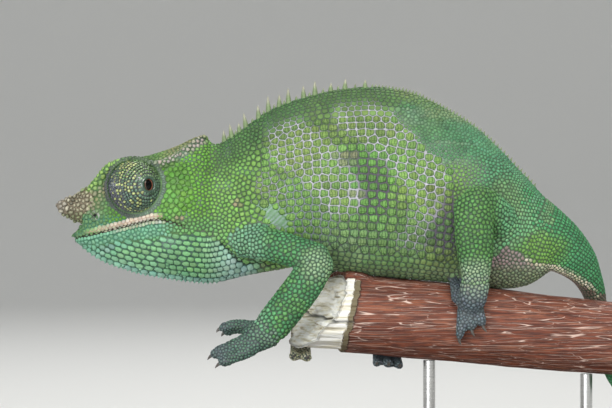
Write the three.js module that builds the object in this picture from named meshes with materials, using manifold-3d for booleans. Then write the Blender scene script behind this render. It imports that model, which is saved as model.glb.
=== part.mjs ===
// A still, life-size model of a two-horned chameleon that grips a cut length of branch on a display stand.
// Millimetres, +Z up. The head points to -X and the animal's left side faces -Y.
// The origin is on the underside of the stand's base, below the middle of the trunk.
// The animal is whole and parted by thin cuts, so each named piece is one closed solid.
import * as THREE from "three";
import { mergeVertices } from "three/addons/utils/BufferGeometryUtils.js";
import Module from "manifold-3d";

const wasm = await Module();
wasm.setup();

// ---- driving dimensions ----

const GAP = 0.3; // clearance between neighbouring solids
const FLATNESS = 0.1; // how far a surface may move when flat neighbouring triangles are joined
const LEFT = -1; // the side that faces -Y
const RIGHT = 1;

// The head, neck and trunk: each row is [x, value].
const BACK = through([
  [-84, 70.4], [-82.6, 72.1], [-80.9, 74], [-79.7, 79.5], [-78.4, 84.2], [-76.2, 87], [-74.2, 89.6],
  [-71.5, 91.4], [-68, 92.2], [-63, 92.9], [-58, 94.4], [-54.3, 95.8], [-50.6, 97.6], [-48.3, 98.3],
  [-46.4, 97.8], [-45, 96.4], [-43.2, 96.3], [-41, 97.4], [-37.5, 99.7], [-28.6, 105.9], [-18, 109.8],
  [-9, 111.7], [1, 112.3], [10.6, 110.9], [16, 108.6], [23.2, 104.8], [30.2, 100.2], [36, 94.9],
  [41, 89.6], [45.2, 85.2], [50, 79.5],
]);
const BELLY = through([
  [-84, 69.3], [-80.6, 66.3], [-76, 63.2], [-68, 60.2], [-59, 58.3], [-51, 57.2], [-44, 56.9],
  [-35.6, 58.7], [-28, 60.2], [-20, 61.4], [-12, 60.4], [-3, 59.2], [8, 58.1], [22, 56.8],
  [36, 55.2], [44, 56.2], [50, 60],
]);
const HALF_WIDTH = through([
  [-84, 1.8], [-82, 3.9], [-78, 5.8], [-74, 6.7], [-70, 7.5], [-65, 8.4], [-60, 9.4],
  [-54, 10.5], [-48, 10.2], [-42, 9.3], [-36, 9.4], [-28, 10.4], [-18, 11.6], [-5, 12.6],
  [8, 12.9], [20, 12.2], [30, 10.6], [38, 8.7], [50, 5.2],
]);
const WIDEST = through([
  [-84, 0.5], [-66, 0.52], [-54, 0.5], [-44, 0.46], [-30, 0.42], [0, 0.4], [30, 0.42], [50, 0.5],
]);
const BACK_EDGE = through([[-84, 1], [-66, 1.05], [-50, 1.25], [-40, 1.5], [0, 1.55], [50, 1.3]]);
const BELLY_EDGE = through([
  [-84, 1], [-72, 1.15], [-50, 1.45], [-36, 1.35], [-20, 1.1], [30, 1.15], [50, 1.1],
]);
const BODY = { front: -84, rear: 50, rings: 40, sides: 18, crowding: 1.2 };

// Upright cuts between the body's lengths. lean is how far a cut moves forwards with each millimetre up.
const CUTS = {
  height: 80,
  neck: { x: -41, lean: 0.1 },
  trunk: { x: -33, lean: 0.1 },
  rump: { x: 37, lean: -0.25 },
};
const MOUTH = { x: -84, z: 69.6, slope: 0.215, corner: -57.5 };
const JAW_DEPTH = 66.6; // the height where the lower jaw meets the throat

// The eyes: a dome of fused lids, with the ball behind a small round opening.
const TURRET = { x: -65.8, y: 6, z: 83.9, radius: 7.4, back: 1.6, fold: 1.05 };
const EYE = { radius: 2.7, opening: 1.55, rim: 0.9 };
const GAZE = {
  [LEFT]: new THREE.Vector3(0.585, -0.81, 0.07).normalize(),
  [RIGHT]: new THREE.Vector3(-0.42, 0.88, 0.12).normalize(),
};

// Crest of single cones from the nape to the highest point of the back: each row is [x, height].
const SPINES = [
  [-41.4, 2.6], [-39.4, 3.2], [-37.2, 1.9], [-35.4, 3.5], [-31.8, 2.9], [-29, 3.7], [-26, 2.7],
  [-23.4, 3.5], [-19.2, 2.9], [-16, 3.2], [-11.6, 1.7], [-7.6, 2.3], [-2, 1.6],
];
const SPINE = { radius: 0.85, root: 1.5, lean: 0.3 };

// The perch: a straight length of branch with one end broken aslant.
const PERCH = {
  left: -26, right: 98, radius: 10.8, taper: 0.006, z: 47.7, slope: -0.092, rings: 16, sides: 20,
};
const BREAK = new THREE.Plane().setFromNormalAndCoplanarPoint(
  new THREE.Vector3(1, 0.486, -0.62).normalize(),
  new THREE.Vector3(-15, 0, 48.8),
);

// The tail: [x, y, z, half height, half width] down to the perch, then a coil round it.
const TAIL_ROOT = [
  [34, 0, 77, 12, 7], [45, 0.2, 71.4, 10.2, 6], [52.2, 1, 67.6, 8, 5], [58.2, 3.2, 62.6, 5.8, 4.1],
  [62.2, 7, 56.6, 3.9, 3.4],
];
const COIL = { x: 65.2, pitch: 17, from: 62, turns: 1.42, root: 2.9, tip: 0.75, step: 40 };
// Shares of the tail's curve where it is cut. The part before the first belongs to the rump.
const TAIL_PARTS = [0.14, 0.34, 0.55, 0.77, 1];

const BASE = { x: 5, length: 170, width: 84, thickness: 8, corner: 14, chamfer: 1 };
const ROD = { radius: 1.7, places: [16, 60] };

// ---- shared shapes ----

// A smooth curve through rows of [x, value], as a function of x.
function through(rows) {
  const slope = rows.map((_, i) => {
    const before = rows[Math.max(i - 1, 0)];
    const after = rows[Math.min(i + 1, rows.length - 1)];
    return (after[1] - before[1]) / (after[0] - before[0]);
  });
  const end = rows.length - 2;
  return (x) => {
    const next = rows.findIndex((row) => row[0] >= x);
    const i = next < 0 ? end : Math.max(next - 1, 0);
    const [x0, v0] = rows[i];
    const [x1, v1] = rows[i + 1];
    const t = (x - x0) / (x1 - x0);
    const rise = (x1 - x0) * t * (1 - t);
    return v0 + (v1 - v0) * t * t * (3 - 2 * t) + rise * ((1 - t) * slope[i] - t * slope[i + 1]);
  };
}

// A three.js geometry as a solid, turned to face outwards.
function solid(geometry) {
  const bare = new THREE.BufferGeometry();
  bare.setAttribute("position", geometry.getAttribute("position"));
  bare.setIndex(geometry.index);
  const merged = mergeVertices(bare, 1e-4);
  const triVerts = Uint32Array.from(merged.index.array);
  const vertProperties = merged.attributes.position.array;
  const build = () => new wasm.Manifold(new wasm.Mesh({ numProp: 3, vertProperties, triVerts }));
  const made = build();
  if (made.volume() > 0) return made;
  for (let i = 0; i < triVerts.length; i += 3) triVerts.subarray(i, i + 3).reverse();
  return build();
}

// Rings of equal counts joined into one closed skin, with a point at the middle of each end.
function loft(rings) {
  const sides = rings[0].length;
  const middle = (ring) => ring.reduce((sum, p) => sum.add(p), new THREE.Vector3()).divideScalar(sides);
  const points = [...rings.flat(), middle(rings[0]), middle(rings.at(-1))];
  const last = (rings.length - 1) * sides;
  const index = [];
  for (let j = 0; j < sides; j++) {
    const k = (j + 1) % sides;
    for (let i = 0; i < last; i += sides) {
      const [near, nearNext, far, farNext] = [i + j, i + k, i + sides + j, i + sides + k];
      index.push(near, nearNext, farNext, near, farNext, far);
    }
    index.push(points.length - 2, k, j, points.length - 1, last + j, last + k);
  }
  return solid(new THREE.BufferGeometry().setFromPoints(points).setIndex(index));
}

// A limb, toe or tail: an oval section carried along a smooth curve through stations, each
// [x, y, z, half height, half width]. from and to are shares of the curve, and round ends are
// closed by shrinking rings.
const TUBE = { sides: 8, steps: 3, grow: 0, from: 0, to: 1, roundFrom: true, roundTo: true };

function tube(stations, options) {
  const { sides, steps, grow, from, to, roundFrom, roundTo } = { ...TUBE, ...options };
  const smooth = (points) => new THREE.CatmullRomCurve3(points, false, "catmullrom");
  const curve = smooth(stations.map(([x, y, z]) => new THREE.Vector3(x, y, z)));
  const sizes = smooth(stations.map(([, , , a, b = a]) => new THREE.Vector3(a, b, 0)));
  const side = new THREE.Vector3(0, 1, 0);
  const rings = [];
  const addRing = (t, slide, shrink) => {
    const ahead = curve.getTangent(t);
    side.addScaledVector(ahead, -side.dot(ahead)).normalize();
    const up = ahead.clone().cross(side);
    const size = sizes.getPoint(t);
    const [a, b] = [size.x + grow, size.y + grow];
    const centre = curve.getPoint(t).addScaledVector(ahead, slide * Math.min(a, b));
    const turns = Array.from({ length: sides }, (_, j) => (2 * Math.PI * (j + 0.5)) / sides);
    rings.push(
      turns.map((turn) =>
        centre.clone()
          .addScaledVector(up, shrink * a * Math.cos(turn))
          .addScaledVector(side, shrink * b * Math.sin(turn)),
      ),
    );
  };
  if (roundFrom) {
    addRing(from, -0.9, 0.45);
    addRing(from, -0.55, 0.8);
  }
  const count = Math.max(2, Math.round(steps * (stations.length - 1) * (to - from)));
  for (let i = 0; i <= count; i++) addRing(from + ((to - from) * i) / count, 0, 1);
  if (roundTo) {
    addRing(to, 0.55, 0.8);
    addRing(to, 0.9, 0.45);
  }
  return loft(rings);
}

function ball([x, y, z], radius, across, down) {
  return solid(new THREE.SphereGeometry(radius, across, down).rotateX(Math.PI / 2).translate(x, y, z));
}

const joined = (...solids) => solids.flat().reduce((a, b) => a.add(b));
const mirrored = (side, rows) => rows.map(([x, y, z, ...sizes]) => [x, y * side, z, ...sizes]);

// What lies on the side of a plane that its normal [x, z] points to, kept half a gap away from it.
function beyond(made, [x, z], [nx, nz]) {
  const length = Math.hypot(nx, nz);
  return made.trimByPlane([nx / length, 0, nz / length], (x * nx + z * nz) / length + GAP / 2);
}

const behind = (made, { x, lean }) => beyond(made, [x, CUTS.height], [1, lean]);
const before = (made, { x, lean }) => beyond(made, [x, CUTS.height], [-1, -lean]);

// ---- the perch ----

const perchHeight = (x) => PERCH.z + PERCH.slope * x;
const perchRadius = (x) => PERCH.radius - PERCH.taper * x;

// A point at a distance off the perch's bark, at an angle in degrees from its top towards +Y.
function onPerch(x, degrees, off) {
  const turn = THREE.MathUtils.degToRad(degrees);
  const reach = perchRadius(x) + off;
  return [x, reach * Math.sin(turn), perchHeight(x) + reach * Math.cos(turn)];
}

function perch(grow = 0) {
  const rings = [];
  for (let i = 0; i <= PERCH.rings; i++) {
    const x = THREE.MathUtils.lerp(PERCH.left, PERCH.right, i / PERCH.rings);
    const turns = Array.from({ length: PERCH.sides }, (_, j) => (360 * j) / PERCH.sides);
    rings.push(turns.map((degrees) => new THREE.Vector3(...onPerch(x, degrees, grow))));
  }
  return loft(rings).trimByPlane(BREAK.normal.toArray(), -BREAK.constant - grow);
}

const perchGrown = perch(GAP);

// ---- the body ----

function body(grow = 0) {
  const rings = [];
  for (let i = 0; i <= BODY.rings; i++) {
    const share = (i / BODY.rings) ** BODY.crowding; // closer rings at the snout, which turns fastest
    const at = THREE.MathUtils.lerp(BODY.front, BODY.rear, share);
    const x = THREE.MathUtils.lerp(BODY.front - grow, BODY.rear + grow, share);
    const top = BACK(at) + grow;
    const bottom = BELLY(at) - grow;
    const widest = THREE.MathUtils.lerp(bottom, top, WIDEST(at));
    const ring = [];
    for (let j = 0; j < BODY.sides; j++) {
      const turn = (2 * Math.PI * (j + 0.5)) / BODY.sides;
      const lift = -Math.cos(turn);
      const edge = lift < 0 ? BELLY_EDGE(at) : BACK_EDGE(at);
      const z = widest + lift * (lift < 0 ? widest - bottom : top - widest);
      const y = Math.sign(Math.sin(turn)) * (HALF_WIDTH(at) + grow) * Math.abs(Math.sin(turn)) ** edge;
      ring.push(new THREE.Vector3(x, y, z));
    }
    rings.push(ring);
  }
  return loft(rings);
}

// The brow and lateral crest of one side, from the horn over the eye to the casque's tip.
function crest(side) {
  const rows = [
    [-79.6, 3, 82, 1.2], [-76.6, 3.8, 85.6, 1.3], [-72.8, 5.2, 89.6, 1.3], [-67, 6.8, 91.4, 1.2],
    [-60, 7.4, 90.2, 1.2], [-55.6, 6.8, 91.4, 1.3], [-51.6, 5, 94.2, 1.3], [-48.4, 2.6, 96.8, 1.3],
    [-47, 0.9, 97.5, 1.3],
  ];
  return tube(mirrored(side, rows), { sides: 5, steps: 1 });
}

// The fold of skin that rings a turret.
function socketFold(side) {
  const ring = new THREE.TorusGeometry(TURRET.radius + 0.3, TURRET.fold, 5, 14).rotateX(Math.PI / 2);
  return solid(ring.translate(TURRET.x, side * (TURRET.y + 1.6), TURRET.z));
}

// The crest cones stand nearly upright on the back, leaning a little with its slope.
function spines() {
  return SPINES.map(([x, height]) => {
    const slope = Math.atan(BACK(x + 0.5) - BACK(x - 0.5));
    const cone = new THREE.ConeGeometry(SPINE.radius, height + SPINE.root, 5).rotateX(Math.PI / 2);
    cone.translate(0, 0, (height - SPINE.root) / 2).rotateY(-SPINE.lean * slope);
    return solid(cone.translate(x, 0, BACK(x)));
  });
}

// ---- the tail ----

// It leaves the rump, drops behind the perch and winds along it, ever thinner.
function tailStations() {
  const count = Math.round((360 * COIL.turns) / COIL.step);
  const coil = Array.from({ length: count + 1 }, (_, i) => {
    const turned = COIL.step * i;
    const thick = THREE.MathUtils.lerp(COIL.root, COIL.tip, i / count);
    return [...onPerch(COIL.x + (COIL.pitch * turned) / 360, COIL.from + turned, thick + 2 * GAP), thick];
  });
  return [...TAIL_ROOT, ...coil];
}

const tailRows = tailStations();

function tailPart(from, to, options) {
  return tube(tailRows, { steps: 2, from, to, roundFrom: false, roundTo: to === 1, ...options });
}

const tailRoot = (grow) => tailPart(0, TAIL_PARTS[0], { sides: 12, steps: 3, grow });

// ---- the head, parted from the neck and along the mouth ----

const turretCentre = (side) => new THREE.Vector3(TURRET.x, side * TURRET.y, TURRET.z);

// The dome's ball, cut flat near the middle of the head so that the two sockets stay apart.
function dome(side, grow = 0) {
  const whole = ball(turretCentre(side), TURRET.radius + grow, 16, 10);
  return whole.trimByPlane([0, side, 0], TURRET.back - grow);
}

// The eyeball sits behind its opening, its front level with the dome.
const eyeDepth = TURRET.radius - EYE.radius - 0.1;
const eyeCentre = (side) => turretCentre(side).addScaledVector(GAZE[side], eyeDepth);
const eye = (side, grow = 0) => ball(eyeCentre(side), EYE.radius + grow, 10, 7);

// A dome with a raised rim round the opening that shows the eyeball.
function turret(side) {
  const turn = new THREE.Quaternion().setFromUnitVectors(new THREE.Vector3(0, 1, 0), GAZE[side]);
  const round = (inner, outer, length, distance) => {
    const made = new THREE.CylinderGeometry(inner, outer, length, 10).applyQuaternion(turn);
    return solid(made.translate(...turretCentre(side).addScaledVector(GAZE[side], distance)));
  };
  const rim = round(EYE.opening + EYE.rim, EYE.opening + 2 * EYE.rim, 1.6, TURRET.radius - 0.75);
  const bore = round(EYE.opening, EYE.opening, 6, TURRET.radius + 1);
  return dome(side).add(rim).subtract(eye(side, GAP)).subtract(bore);
}

function horn(side, grow = 0) {
  const rows = [
    [-79, 2.5, 78.8, 3.9, 2.3], [-82.6, 2.7, 78.3, 3.5, 2.1], [-85.4, 2.8, 78.2, 2.5, 1.7],
    [-87, 2.9, 78.3, 1.5, 1.1],
  ];
  return tube(mirrored(side, rows), { steps: 2, grow });
}

function headPieces(skin) {
  const cuts = [LEFT, RIGHT].flatMap((side) => [dome(side, GAP), horn(side, GAP)]);
  const whole = before(skin, CUTS.neck).subtract(joined(cuts));
  const lip = [MOUTH.x, MOUTH.z];
  const below = beyond(whole, lip, [MOUTH.slope, -1]);
  const corner = [MOUTH.corner, JAW_DEPTH];
  const front = beyond(below, corner, [-1, 0]);
  return {
    head: beyond(whole, lip, [-MOUTH.slope, 1]),
    cheek: beyond(below, corner, [1, 0]),
    lower_jaw: beyond(front, corner, [0, 1]),
    throat: beyond(front, corner, [0, -1]),
  };
}

// ---- the limbs ----

// A toe: points is its centre line and hook the way that its short claw curls.
const toe = (points, radius, hook) => ({ points, radius, hook });

// Toes that leave the palm close together and follow the perch's round from one angle to another.
// Each tip is [x, last angle].
function gripping(tips, from, radius, hook) {
  const middle = tips.reduce((sum, [x]) => sum + x, 0) / tips.length;
  return tips.map(([x, last]) => {
    const way = [0, 0.35, 0.7, 1].map((share) => {
      const spread = THREE.MathUtils.lerp(0.6, 1, share);
      const angle = THREE.MathUtils.lerp(from, last, share);
      return onPerch(middle + spread * (x - middle), angle, radius + 0.4);
    });
    return toe(way, radius, hook);
  });
}

const LIMBS = {
  left_hand: {
    upper: ["upper_arm_left", [
      [-35.5, -7, 69, 5, 4], [-27, -13, 67.6, 4.7, 3.9], [-15.4, -17, 64.2, 4.4, 3.6],
    ]],
    lower: ["forearm_left", [
      [-15, -17.2, 63.2, 4.6, 3.6], [-19.8, -17.6, 56, 5.2, 3.5], [-27.6, -16.6, 46, 5, 3.3],
    ]],
    palm: ["hand_left", [[-28.8, -16.2, 44.4, 4.7, 3.2], [-33, -15.6, 42.2, 4.2, 3]]],
    outer: [
      toe([[-34, -15.4, 42], [-39.4, -15.6, 40], [-43.2, -15.4, 38.3]], 2.3, [-0.3, 0.4, -1]),
      toe([[-33.5, -17, 39.6], [-38, -17.6, 37.5], [-41, -17.6, 36.2]], 2.3, [-0.3, 0.4, -1]),
    ],
    inner: [
      toe([[-33.5, -12.4, 45.7], [-38, -11, 45.9], [-41.4, -10.4, 45]], 2, [0, -0.4, -1]),
      toe([[-33.5, -11.4, 44.6], [-37.4, -9, 44.6], [-40.2, -8.2, 43.8]], 2, [0, -0.4, -1]),
      toe([[-32.5, -9.8, 45.4], [-35.8, -7.2, 45.6], [-38.4, -6.2, 44.8]], 1.9, [0, -0.4, -1]),
    ],
  },
  right_hand: {
    upper: ["upper_arm_right", [
      [-35.5, 7, 69, 5, 4], [-27, 13, 67.8, 4.7, 3.9], [-15.6, 18.4, 65, 4.4, 3.6],
    ]],
    lower: ["forearm_right", [
      [-14.6, 18.6, 64, 4.6, 3.6], [-14.8, 18.8, 57.6, 4.9, 3.4], [-17.4, 17.4, 50.8, 4.2, 3.1],
    ]],
    palm: ["hand_right", [[-17.8, 16.6, 49.4, 4.1, 3], [-18.8, 15.2, 44.8, 4, 2.8]]],
    outer: gripping([[-21.9, 190], [-18.2, 190]], 118, 1.95, [0.6, -0.6, 1]),
    inner: gripping([[-17, 52], [-14.2, 48], [-11.6, 46]], 82, 1.8, [0.4, -1, -0.6]),
  },
  left_foot: {
    upper: ["thigh_left", [
      [35.5, -5, 71, 6.6, 4.6], [31.5, -11, 76.4, 6.4, 4.4], [27.4, -15.2, 79.6, 5.6, 3.9],
    ]],
    lower: ["shin_left", [
      [27.2, -15.6, 78.4, 5.6, 3.9], [27.5, -16.2, 69, 5.4, 3.7], [27.9, -14.9, 59.6, 4.2, 3.2],
    ]],
    palm: ["foot_left", [[27.8, -14.6, 57.8, 4.2, 3.1], [26.9, -14.2, 52.6, 4.1, 2.9]]],
    outer: gripping([[23.6, -101], [26.9, -89], [29.8, -83]], -60, 1.85, [0.9, 0.3, -0.6]),
    inner: gripping([[22.4, -22], [25.4, -18]], -54, 1.8, [0, 1, -1]),
  },
  right_foot: {
    upper: ["thigh_right", [
      [34, 5, 73, 6.6, 4.6], [24.6, 12, 77, 6.2, 4.4], [15.6, 16.6, 77, 5.3, 3.9],
    ]],
    lower: ["shin_right", [
      [14.6, 16.8, 76, 5.4, 3.9], [10.2, 17.4, 67, 5.1, 3.7], [7, 15.8, 58, 4.2, 3.2],
    ]],
    palm: ["foot_right", [[6.7, 15.5, 56.4, 4.2, 3.1], [5.2, 14.6, 51.6, 4.2, 2.9]]],
    outer: gripping([[1.2, 188], [4.5, 190], [7.6, 186]], 78, 1.85, [0.4, -0.6, 1]),
    inner: gripping([[2.2, 20], [5.4, 16]], 54, 1.8, [0, -1, -1]),
  },
};

function toeSolid({ points, radius, hook }, grow) {
  const tip = new THREE.Vector3(...points.at(-1));
  const way = tip.clone().sub(new THREE.Vector3(...points.at(-2))).normalize();
  const curl = new THREE.Vector3(...hook).normalize();
  const clawAt = (out, down, size) => {
    const place = tip.clone().addScaledVector(way, out * radius).addScaledVector(curl, down * radius);
    return [...place, size];
  };
  const claw = [clawAt(0.3, 0, 0.8), clawAt(1.15, 0.2, 0.55), clawAt(1.6, 0.8, 0.3)];
  const rows = points.map((point, i) => [...point, radius * (1 - (0.2 * i) / (points.length - 1))]);
  return tube(rows, { sides: 6, steps: 1, grow }).add(tube(claw, { sides: 4, steps: 1, grow }));
}

// The pieces of one limb. Each is cut clear of the body, the perch and the piece nearer its tip.
function limbPieces(name, limb, bodyGrown) {
  const part = (which, grow) => tube(limb[which][1], { sides: 9, steps: 2, grow });
  const toes = (which, grow) => joined(limb[which].map((one) => toeSolid(one, grow)));
  const clear = (made, ...others) => {
    return [bodyGrown, perchGrown, ...others].reduce((rest, other) => rest.subtract(other), made);
  };
  const grown = { lower: part("lower", GAP), palm: part("palm", GAP), outer: toes("outer", GAP) };
  return {
    [limb.upper[0]]: clear(part("upper", 0), grown.lower),
    [limb.lower[0]]: clear(part("lower", 0)),
    [limb.palm[0]]: clear(part("palm", 0), grown.lower),
    [`${name}_outer_toes`]: clear(toes("outer", 0), grown.lower, grown.palm),
    [`${name}_inner_toes`]: clear(toes("inner", 0), grown.lower, grown.palm, grown.outer),
  };
}

// ---- the stand ----

function base() {
  const { length, width, corner, thickness, chamfer } = BASE;
  const [half, deep] = [length / 2 - corner, width / 2 - corner];
  const outline = new THREE.Shape();
  const corners = [[half, deep], [-half, deep], [-half, -deep], [half, -deep]];
  const quarter = Math.PI / 2;
  corners.forEach(([x, y], i) => {
    outline.absarc(x, y, corner - chamfer, i * quarter, (i + 1) * quarter);
  });
  const plate = new THREE.ExtrudeGeometry(outline, {
    depth: thickness - 2 * chamfer,
    curveSegments: 4,
    bevelThickness: chamfer,
    bevelSize: chamfer,
    bevelSegments: 1,
  });
  return solid(plate.translate(BASE.x, 0, chamfer));
}

// A rod from the base up to the perch, hollowed at its top to the perch's round.
function rod(x) {
  const height = perchHeight(x) - BASE.thickness;
  const made = new THREE.CylinderGeometry(ROD.radius, ROD.radius, height, 12).rotateX(Math.PI / 2);
  return solid(made.translate(x, 0, BASE.thickness + height / 2)).subtract(perchGrown);
}

// ---- the model ----

const FINISH = {
  skin: { color: 0x5b9a3c, roughness: 0.6, metalness: 0 },
  horn: { color: 0x9a8a66, roughness: 0.7, metalness: 0 },
  turret: { color: 0x77875a, roughness: 0.5, metalness: 0 },
  eye: { color: 0x120c0a, roughness: 0.1, metalness: 0 },
  foot: { color: 0x55645e, roughness: 0.65, metalness: 0 },
  bark: { color: 0x7d3f2c, roughness: 0.85, metalness: 0 },
  wood: { color: 0x3a2619, roughness: 0.4, metalness: 0 },
  steel: { color: 0xb8b8b8, roughness: 0.3, metalness: 1 },
};

const model = new THREE.Group();

function groupAt(...place) {
  const group = new THREE.Group();
  group.position.set(...place);
  model.add(group);
  return group;
}

// Each mesh is placed by its group and its own position, so its geometry is measured from there.
function add(group, name, made, material, [x, y, z] = group.position) {
  const pieces = made.asOriginal().simplify(FLATNESS).decompose();
  const whole = pieces.reduce((a, b) => (a.volume() > b.volume() ? a : b));
  const { vertProperties, triVerts } = whole.getMesh();
  const geometry = new THREE.BufferGeometry();
  geometry.setAttribute("position", new THREE.BufferAttribute(vertProperties, 3));
  geometry.setIndex(new THREE.BufferAttribute(triVerts, 1));
  geometry.translate(-x, -y, -z);
  const mesh = new THREE.Mesh(geometry, new THREE.MeshStandardMaterial(FINISH[material]));
  mesh.name = name;
  mesh.position.set(x, y, z).sub(group.position);
  group.add(mesh);
}

const bodySkin = joined(body(), crest(LEFT), crest(RIGHT), socketFold(LEFT), socketFold(RIGHT));
const bodyGrown = joined(body(GAP), tailRoot(GAP));

const head = groupAt(TURRET.x, 0, TURRET.z);
for (const [name, made] of Object.entries(headPieces(bodySkin))) add(head, name, made, "skin");
for (const [side, name] of [[LEFT, "left"], [RIGHT, "right"]]) {
  add(head, `horn_${name}`, horn(side), "horn");
  add(head, `turret_${name}`, turret(side), "turret", turretCentre(side));
  add(head, `eye_${name}`, eye(side), "eye", eyeCentre(side));
}

const torso = groupAt(0, 0, CUTS.height);
const torsoSkin = joined(bodySkin, tailRoot(0), spines()).subtract(perchGrown);
add(torso, "neck", behind(before(torsoSkin, CUTS.trunk), CUTS.neck), "skin");
add(torso, "trunk", behind(before(torsoSkin, CUTS.rump), CUTS.trunk), "skin");
add(torso, "rump", behind(torsoSkin, CUTS.rump), "skin");

const tail = groupAt(...TAIL_ROOT[1].slice(0, 3));
TAIL_PARTS.slice(1).forEach((to, i) => {
  const slit = 0.003; // the share of the tail's curve left open at each cut
  const length = tailPart(TAIL_PARTS[i] + slit, to === 1 ? 1 : to - slit);
  add(tail, `tail_${i + 1}`, length.subtract(perchGrown), "skin");
});

for (const [name, limb] of Object.entries(LIMBS)) {
  const group = groupAt(...limb.upper[1][0].slice(0, 3));
  for (const [piece, made] of Object.entries(limbPieces(name, limb, bodyGrown))) {
    add(group, piece, made, /hand|foot/.test(piece) ? "foot" : "skin");
  }
}

const stand = groupAt(BASE.x, 0, 0);
add(stand, "perch", perch(), "bark", [0, 0, PERCH.z]);
add(stand, "stand_base", base(), "wood");
ROD.places.forEach((x, i) => add(stand, `stand_rod_${i + 1}`, rod(x), "steel", [x, 0, BASE.thickness]));

export default model;
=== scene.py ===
"""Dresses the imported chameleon: one hide over its flesh, a coat of solid scales over the hide, turreted
eyes, horns, crest spines and claws, the bark of its perch, and the stand, in a plain studio.

Tables are in millimetres in the model's frame: +Z up, the snout towards -X, the left side towards -Y.
"""

from functools import cache

import bmesh
import bpy
import numpy as np
from bpy.props import FloatProperty, FloatVectorProperty, PointerProperty
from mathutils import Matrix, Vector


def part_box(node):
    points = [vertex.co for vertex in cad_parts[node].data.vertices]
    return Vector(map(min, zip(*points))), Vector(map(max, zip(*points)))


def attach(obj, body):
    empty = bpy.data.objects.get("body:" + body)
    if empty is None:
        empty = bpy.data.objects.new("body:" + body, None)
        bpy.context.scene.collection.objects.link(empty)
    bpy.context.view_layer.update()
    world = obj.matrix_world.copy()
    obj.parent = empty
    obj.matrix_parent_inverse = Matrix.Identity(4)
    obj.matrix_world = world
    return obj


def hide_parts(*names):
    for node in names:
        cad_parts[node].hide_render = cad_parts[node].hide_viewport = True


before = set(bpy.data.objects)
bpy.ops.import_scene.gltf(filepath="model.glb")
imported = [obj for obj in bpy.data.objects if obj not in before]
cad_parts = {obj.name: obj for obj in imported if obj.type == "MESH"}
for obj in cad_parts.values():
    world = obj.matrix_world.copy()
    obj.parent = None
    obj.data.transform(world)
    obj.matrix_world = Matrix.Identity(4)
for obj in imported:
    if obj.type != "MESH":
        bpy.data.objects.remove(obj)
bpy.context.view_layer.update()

bl_info = {
    "name": "Horned chameleon",
    "version": (1, 0, 0),
    "blender": (4, 5, 0),
    "location": "3D View > Sidebar > Chameleon",
    "description": "Hide, scales, eyes, horns, perch and stand of a chameleon, built over its solids",
    "category": "Object",
}

# A millimetre in metres, the model's only body, and the sign of Y on each side.
MM = 0.001
BODY = "root"
SIDES = {"left": -1, "right": 1}

# ---- the animal's measures, in millimetres ----

# The head, neck and trunk in rows of [x, value]: heights of the back and belly, and half the width.
BACK = [
    [-84, 70.4], [-82.6, 72.1], [-80.9, 74], [-79.7, 79.5], [-78.4, 84.2], [-76.2, 87], [-74.2, 89.6],
    [-71.5, 91.4], [-68, 92.2], [-63, 92.9], [-58, 94.4], [-54.3, 95.8], [-50.6, 97.6], [-48.3, 98.3],
    [-46.4, 97.8], [-45, 96.4], [-43.2, 96.3], [-41, 97.4], [-37.5, 99.7], [-28.6, 105.9], [-18, 109.8],
    [-9, 111.7], [1, 112.3], [10.6, 110.9], [16, 108.6], [23.2, 104.8], [30.2, 100.2], [36, 94.9],
    [41, 89.6], [45.2, 85.2], [50, 79.5],
]
BELLY = [
    [-84, 69.3], [-80.6, 66.3], [-76, 63.2], [-68, 60.2], [-59, 58.3], [-51, 57.2], [-44, 56.9],
    [-35.6, 58.7], [-28, 60.2], [-20, 61.4], [-12, 60.4], [-3, 59.2], [8, 58.1], [22, 56.8],
    [36, 55.2], [44, 56.2], [50, 60],
]
HALF_WIDTH = [
    [-84, 1.8], [-82, 3.9], [-78, 5.8], [-74, 6.7], [-70, 7.5], [-65, 8.4], [-60, 9.4],
    [-54, 10.5], [-48, 10.2], [-42, 9.3], [-36, 9.4], [-28, 10.4], [-18, 11.6], [-5, 12.6],
    [8, 12.9], [20, 12.2], [30, 10.6], [38, 8.7], [50, 5.2],
]
# Where up the section it is widest, and how sharply it closes to the back and belly.
WIDEST = [[-84, 0.5], [-66, 0.52], [-54, 0.5], [-44, 0.46], [-30, 0.42], [0, 0.4], [30, 0.42], [50, 0.5]]
BACK_EDGE = [[-84, 1], [-66, 1.05], [-50, 1.25], [-40, 1.5], [0, 1.55], [50, 1.3]]
BELLY_EDGE = [[-84, 1], [-72, 1.15], [-50, 1.45], [-36, 1.35], [-20, 1.1], [30, 1.15], [50, 1.1]]
FRONT, REAR = -84, 50

# Lines on the side of the head, in rows of [x, z].
MOUTH_LINE = [
    [-83.6, 69.4], [-80, 70.2], [-76.2, 71], [-67.8, 73.1], [-62, 74.5], [-58.8, 74.9], [-55.6, 74.1],
    [-52, 72.8],
]
MOUTH_CORNER = -58.8
NOSTRIL = [-77.1, 75.9]
CANTHUS_LINE = [[-80.2, 81.2], [-77.6, 84.6], [-75, 87.6], [-72.2, 90]]
# The crest of each side, from the snout over the eye, in rows of [x, y, z, radius].
CREST = [
    [-79.6, 3, 82, 1.2], [-76.6, 3.8, 85.6, 1.3], [-72.8, 5.2, 89.6, 1.3], [-67, 6.8, 91.4, 1.2],
    [-60, 7.4, 90.2, 1.2], [-55.6, 6.8, 91.4, 1.3], [-51.6, 5, 94.2, 1.3], [-48.4, 2.6, 96.8, 1.3],
    [-47, 0.9, 97.5, 1.3],
]
# The horn of each side, in rows of [x, y, z, half height, half width].
HORN = [
    [-77.8, 2.4, 79.1, 5.4, 2.5], [-80.3, 2.6, 78.3, 4.7, 2.4], [-82.8, 2.7, 78, 3.8, 2.2],
    [-85.4, 2.8, 78.3, 2.7, 1.8], [-87.1, 2.9, 78.7, 1.6, 1.2],
]
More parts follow.
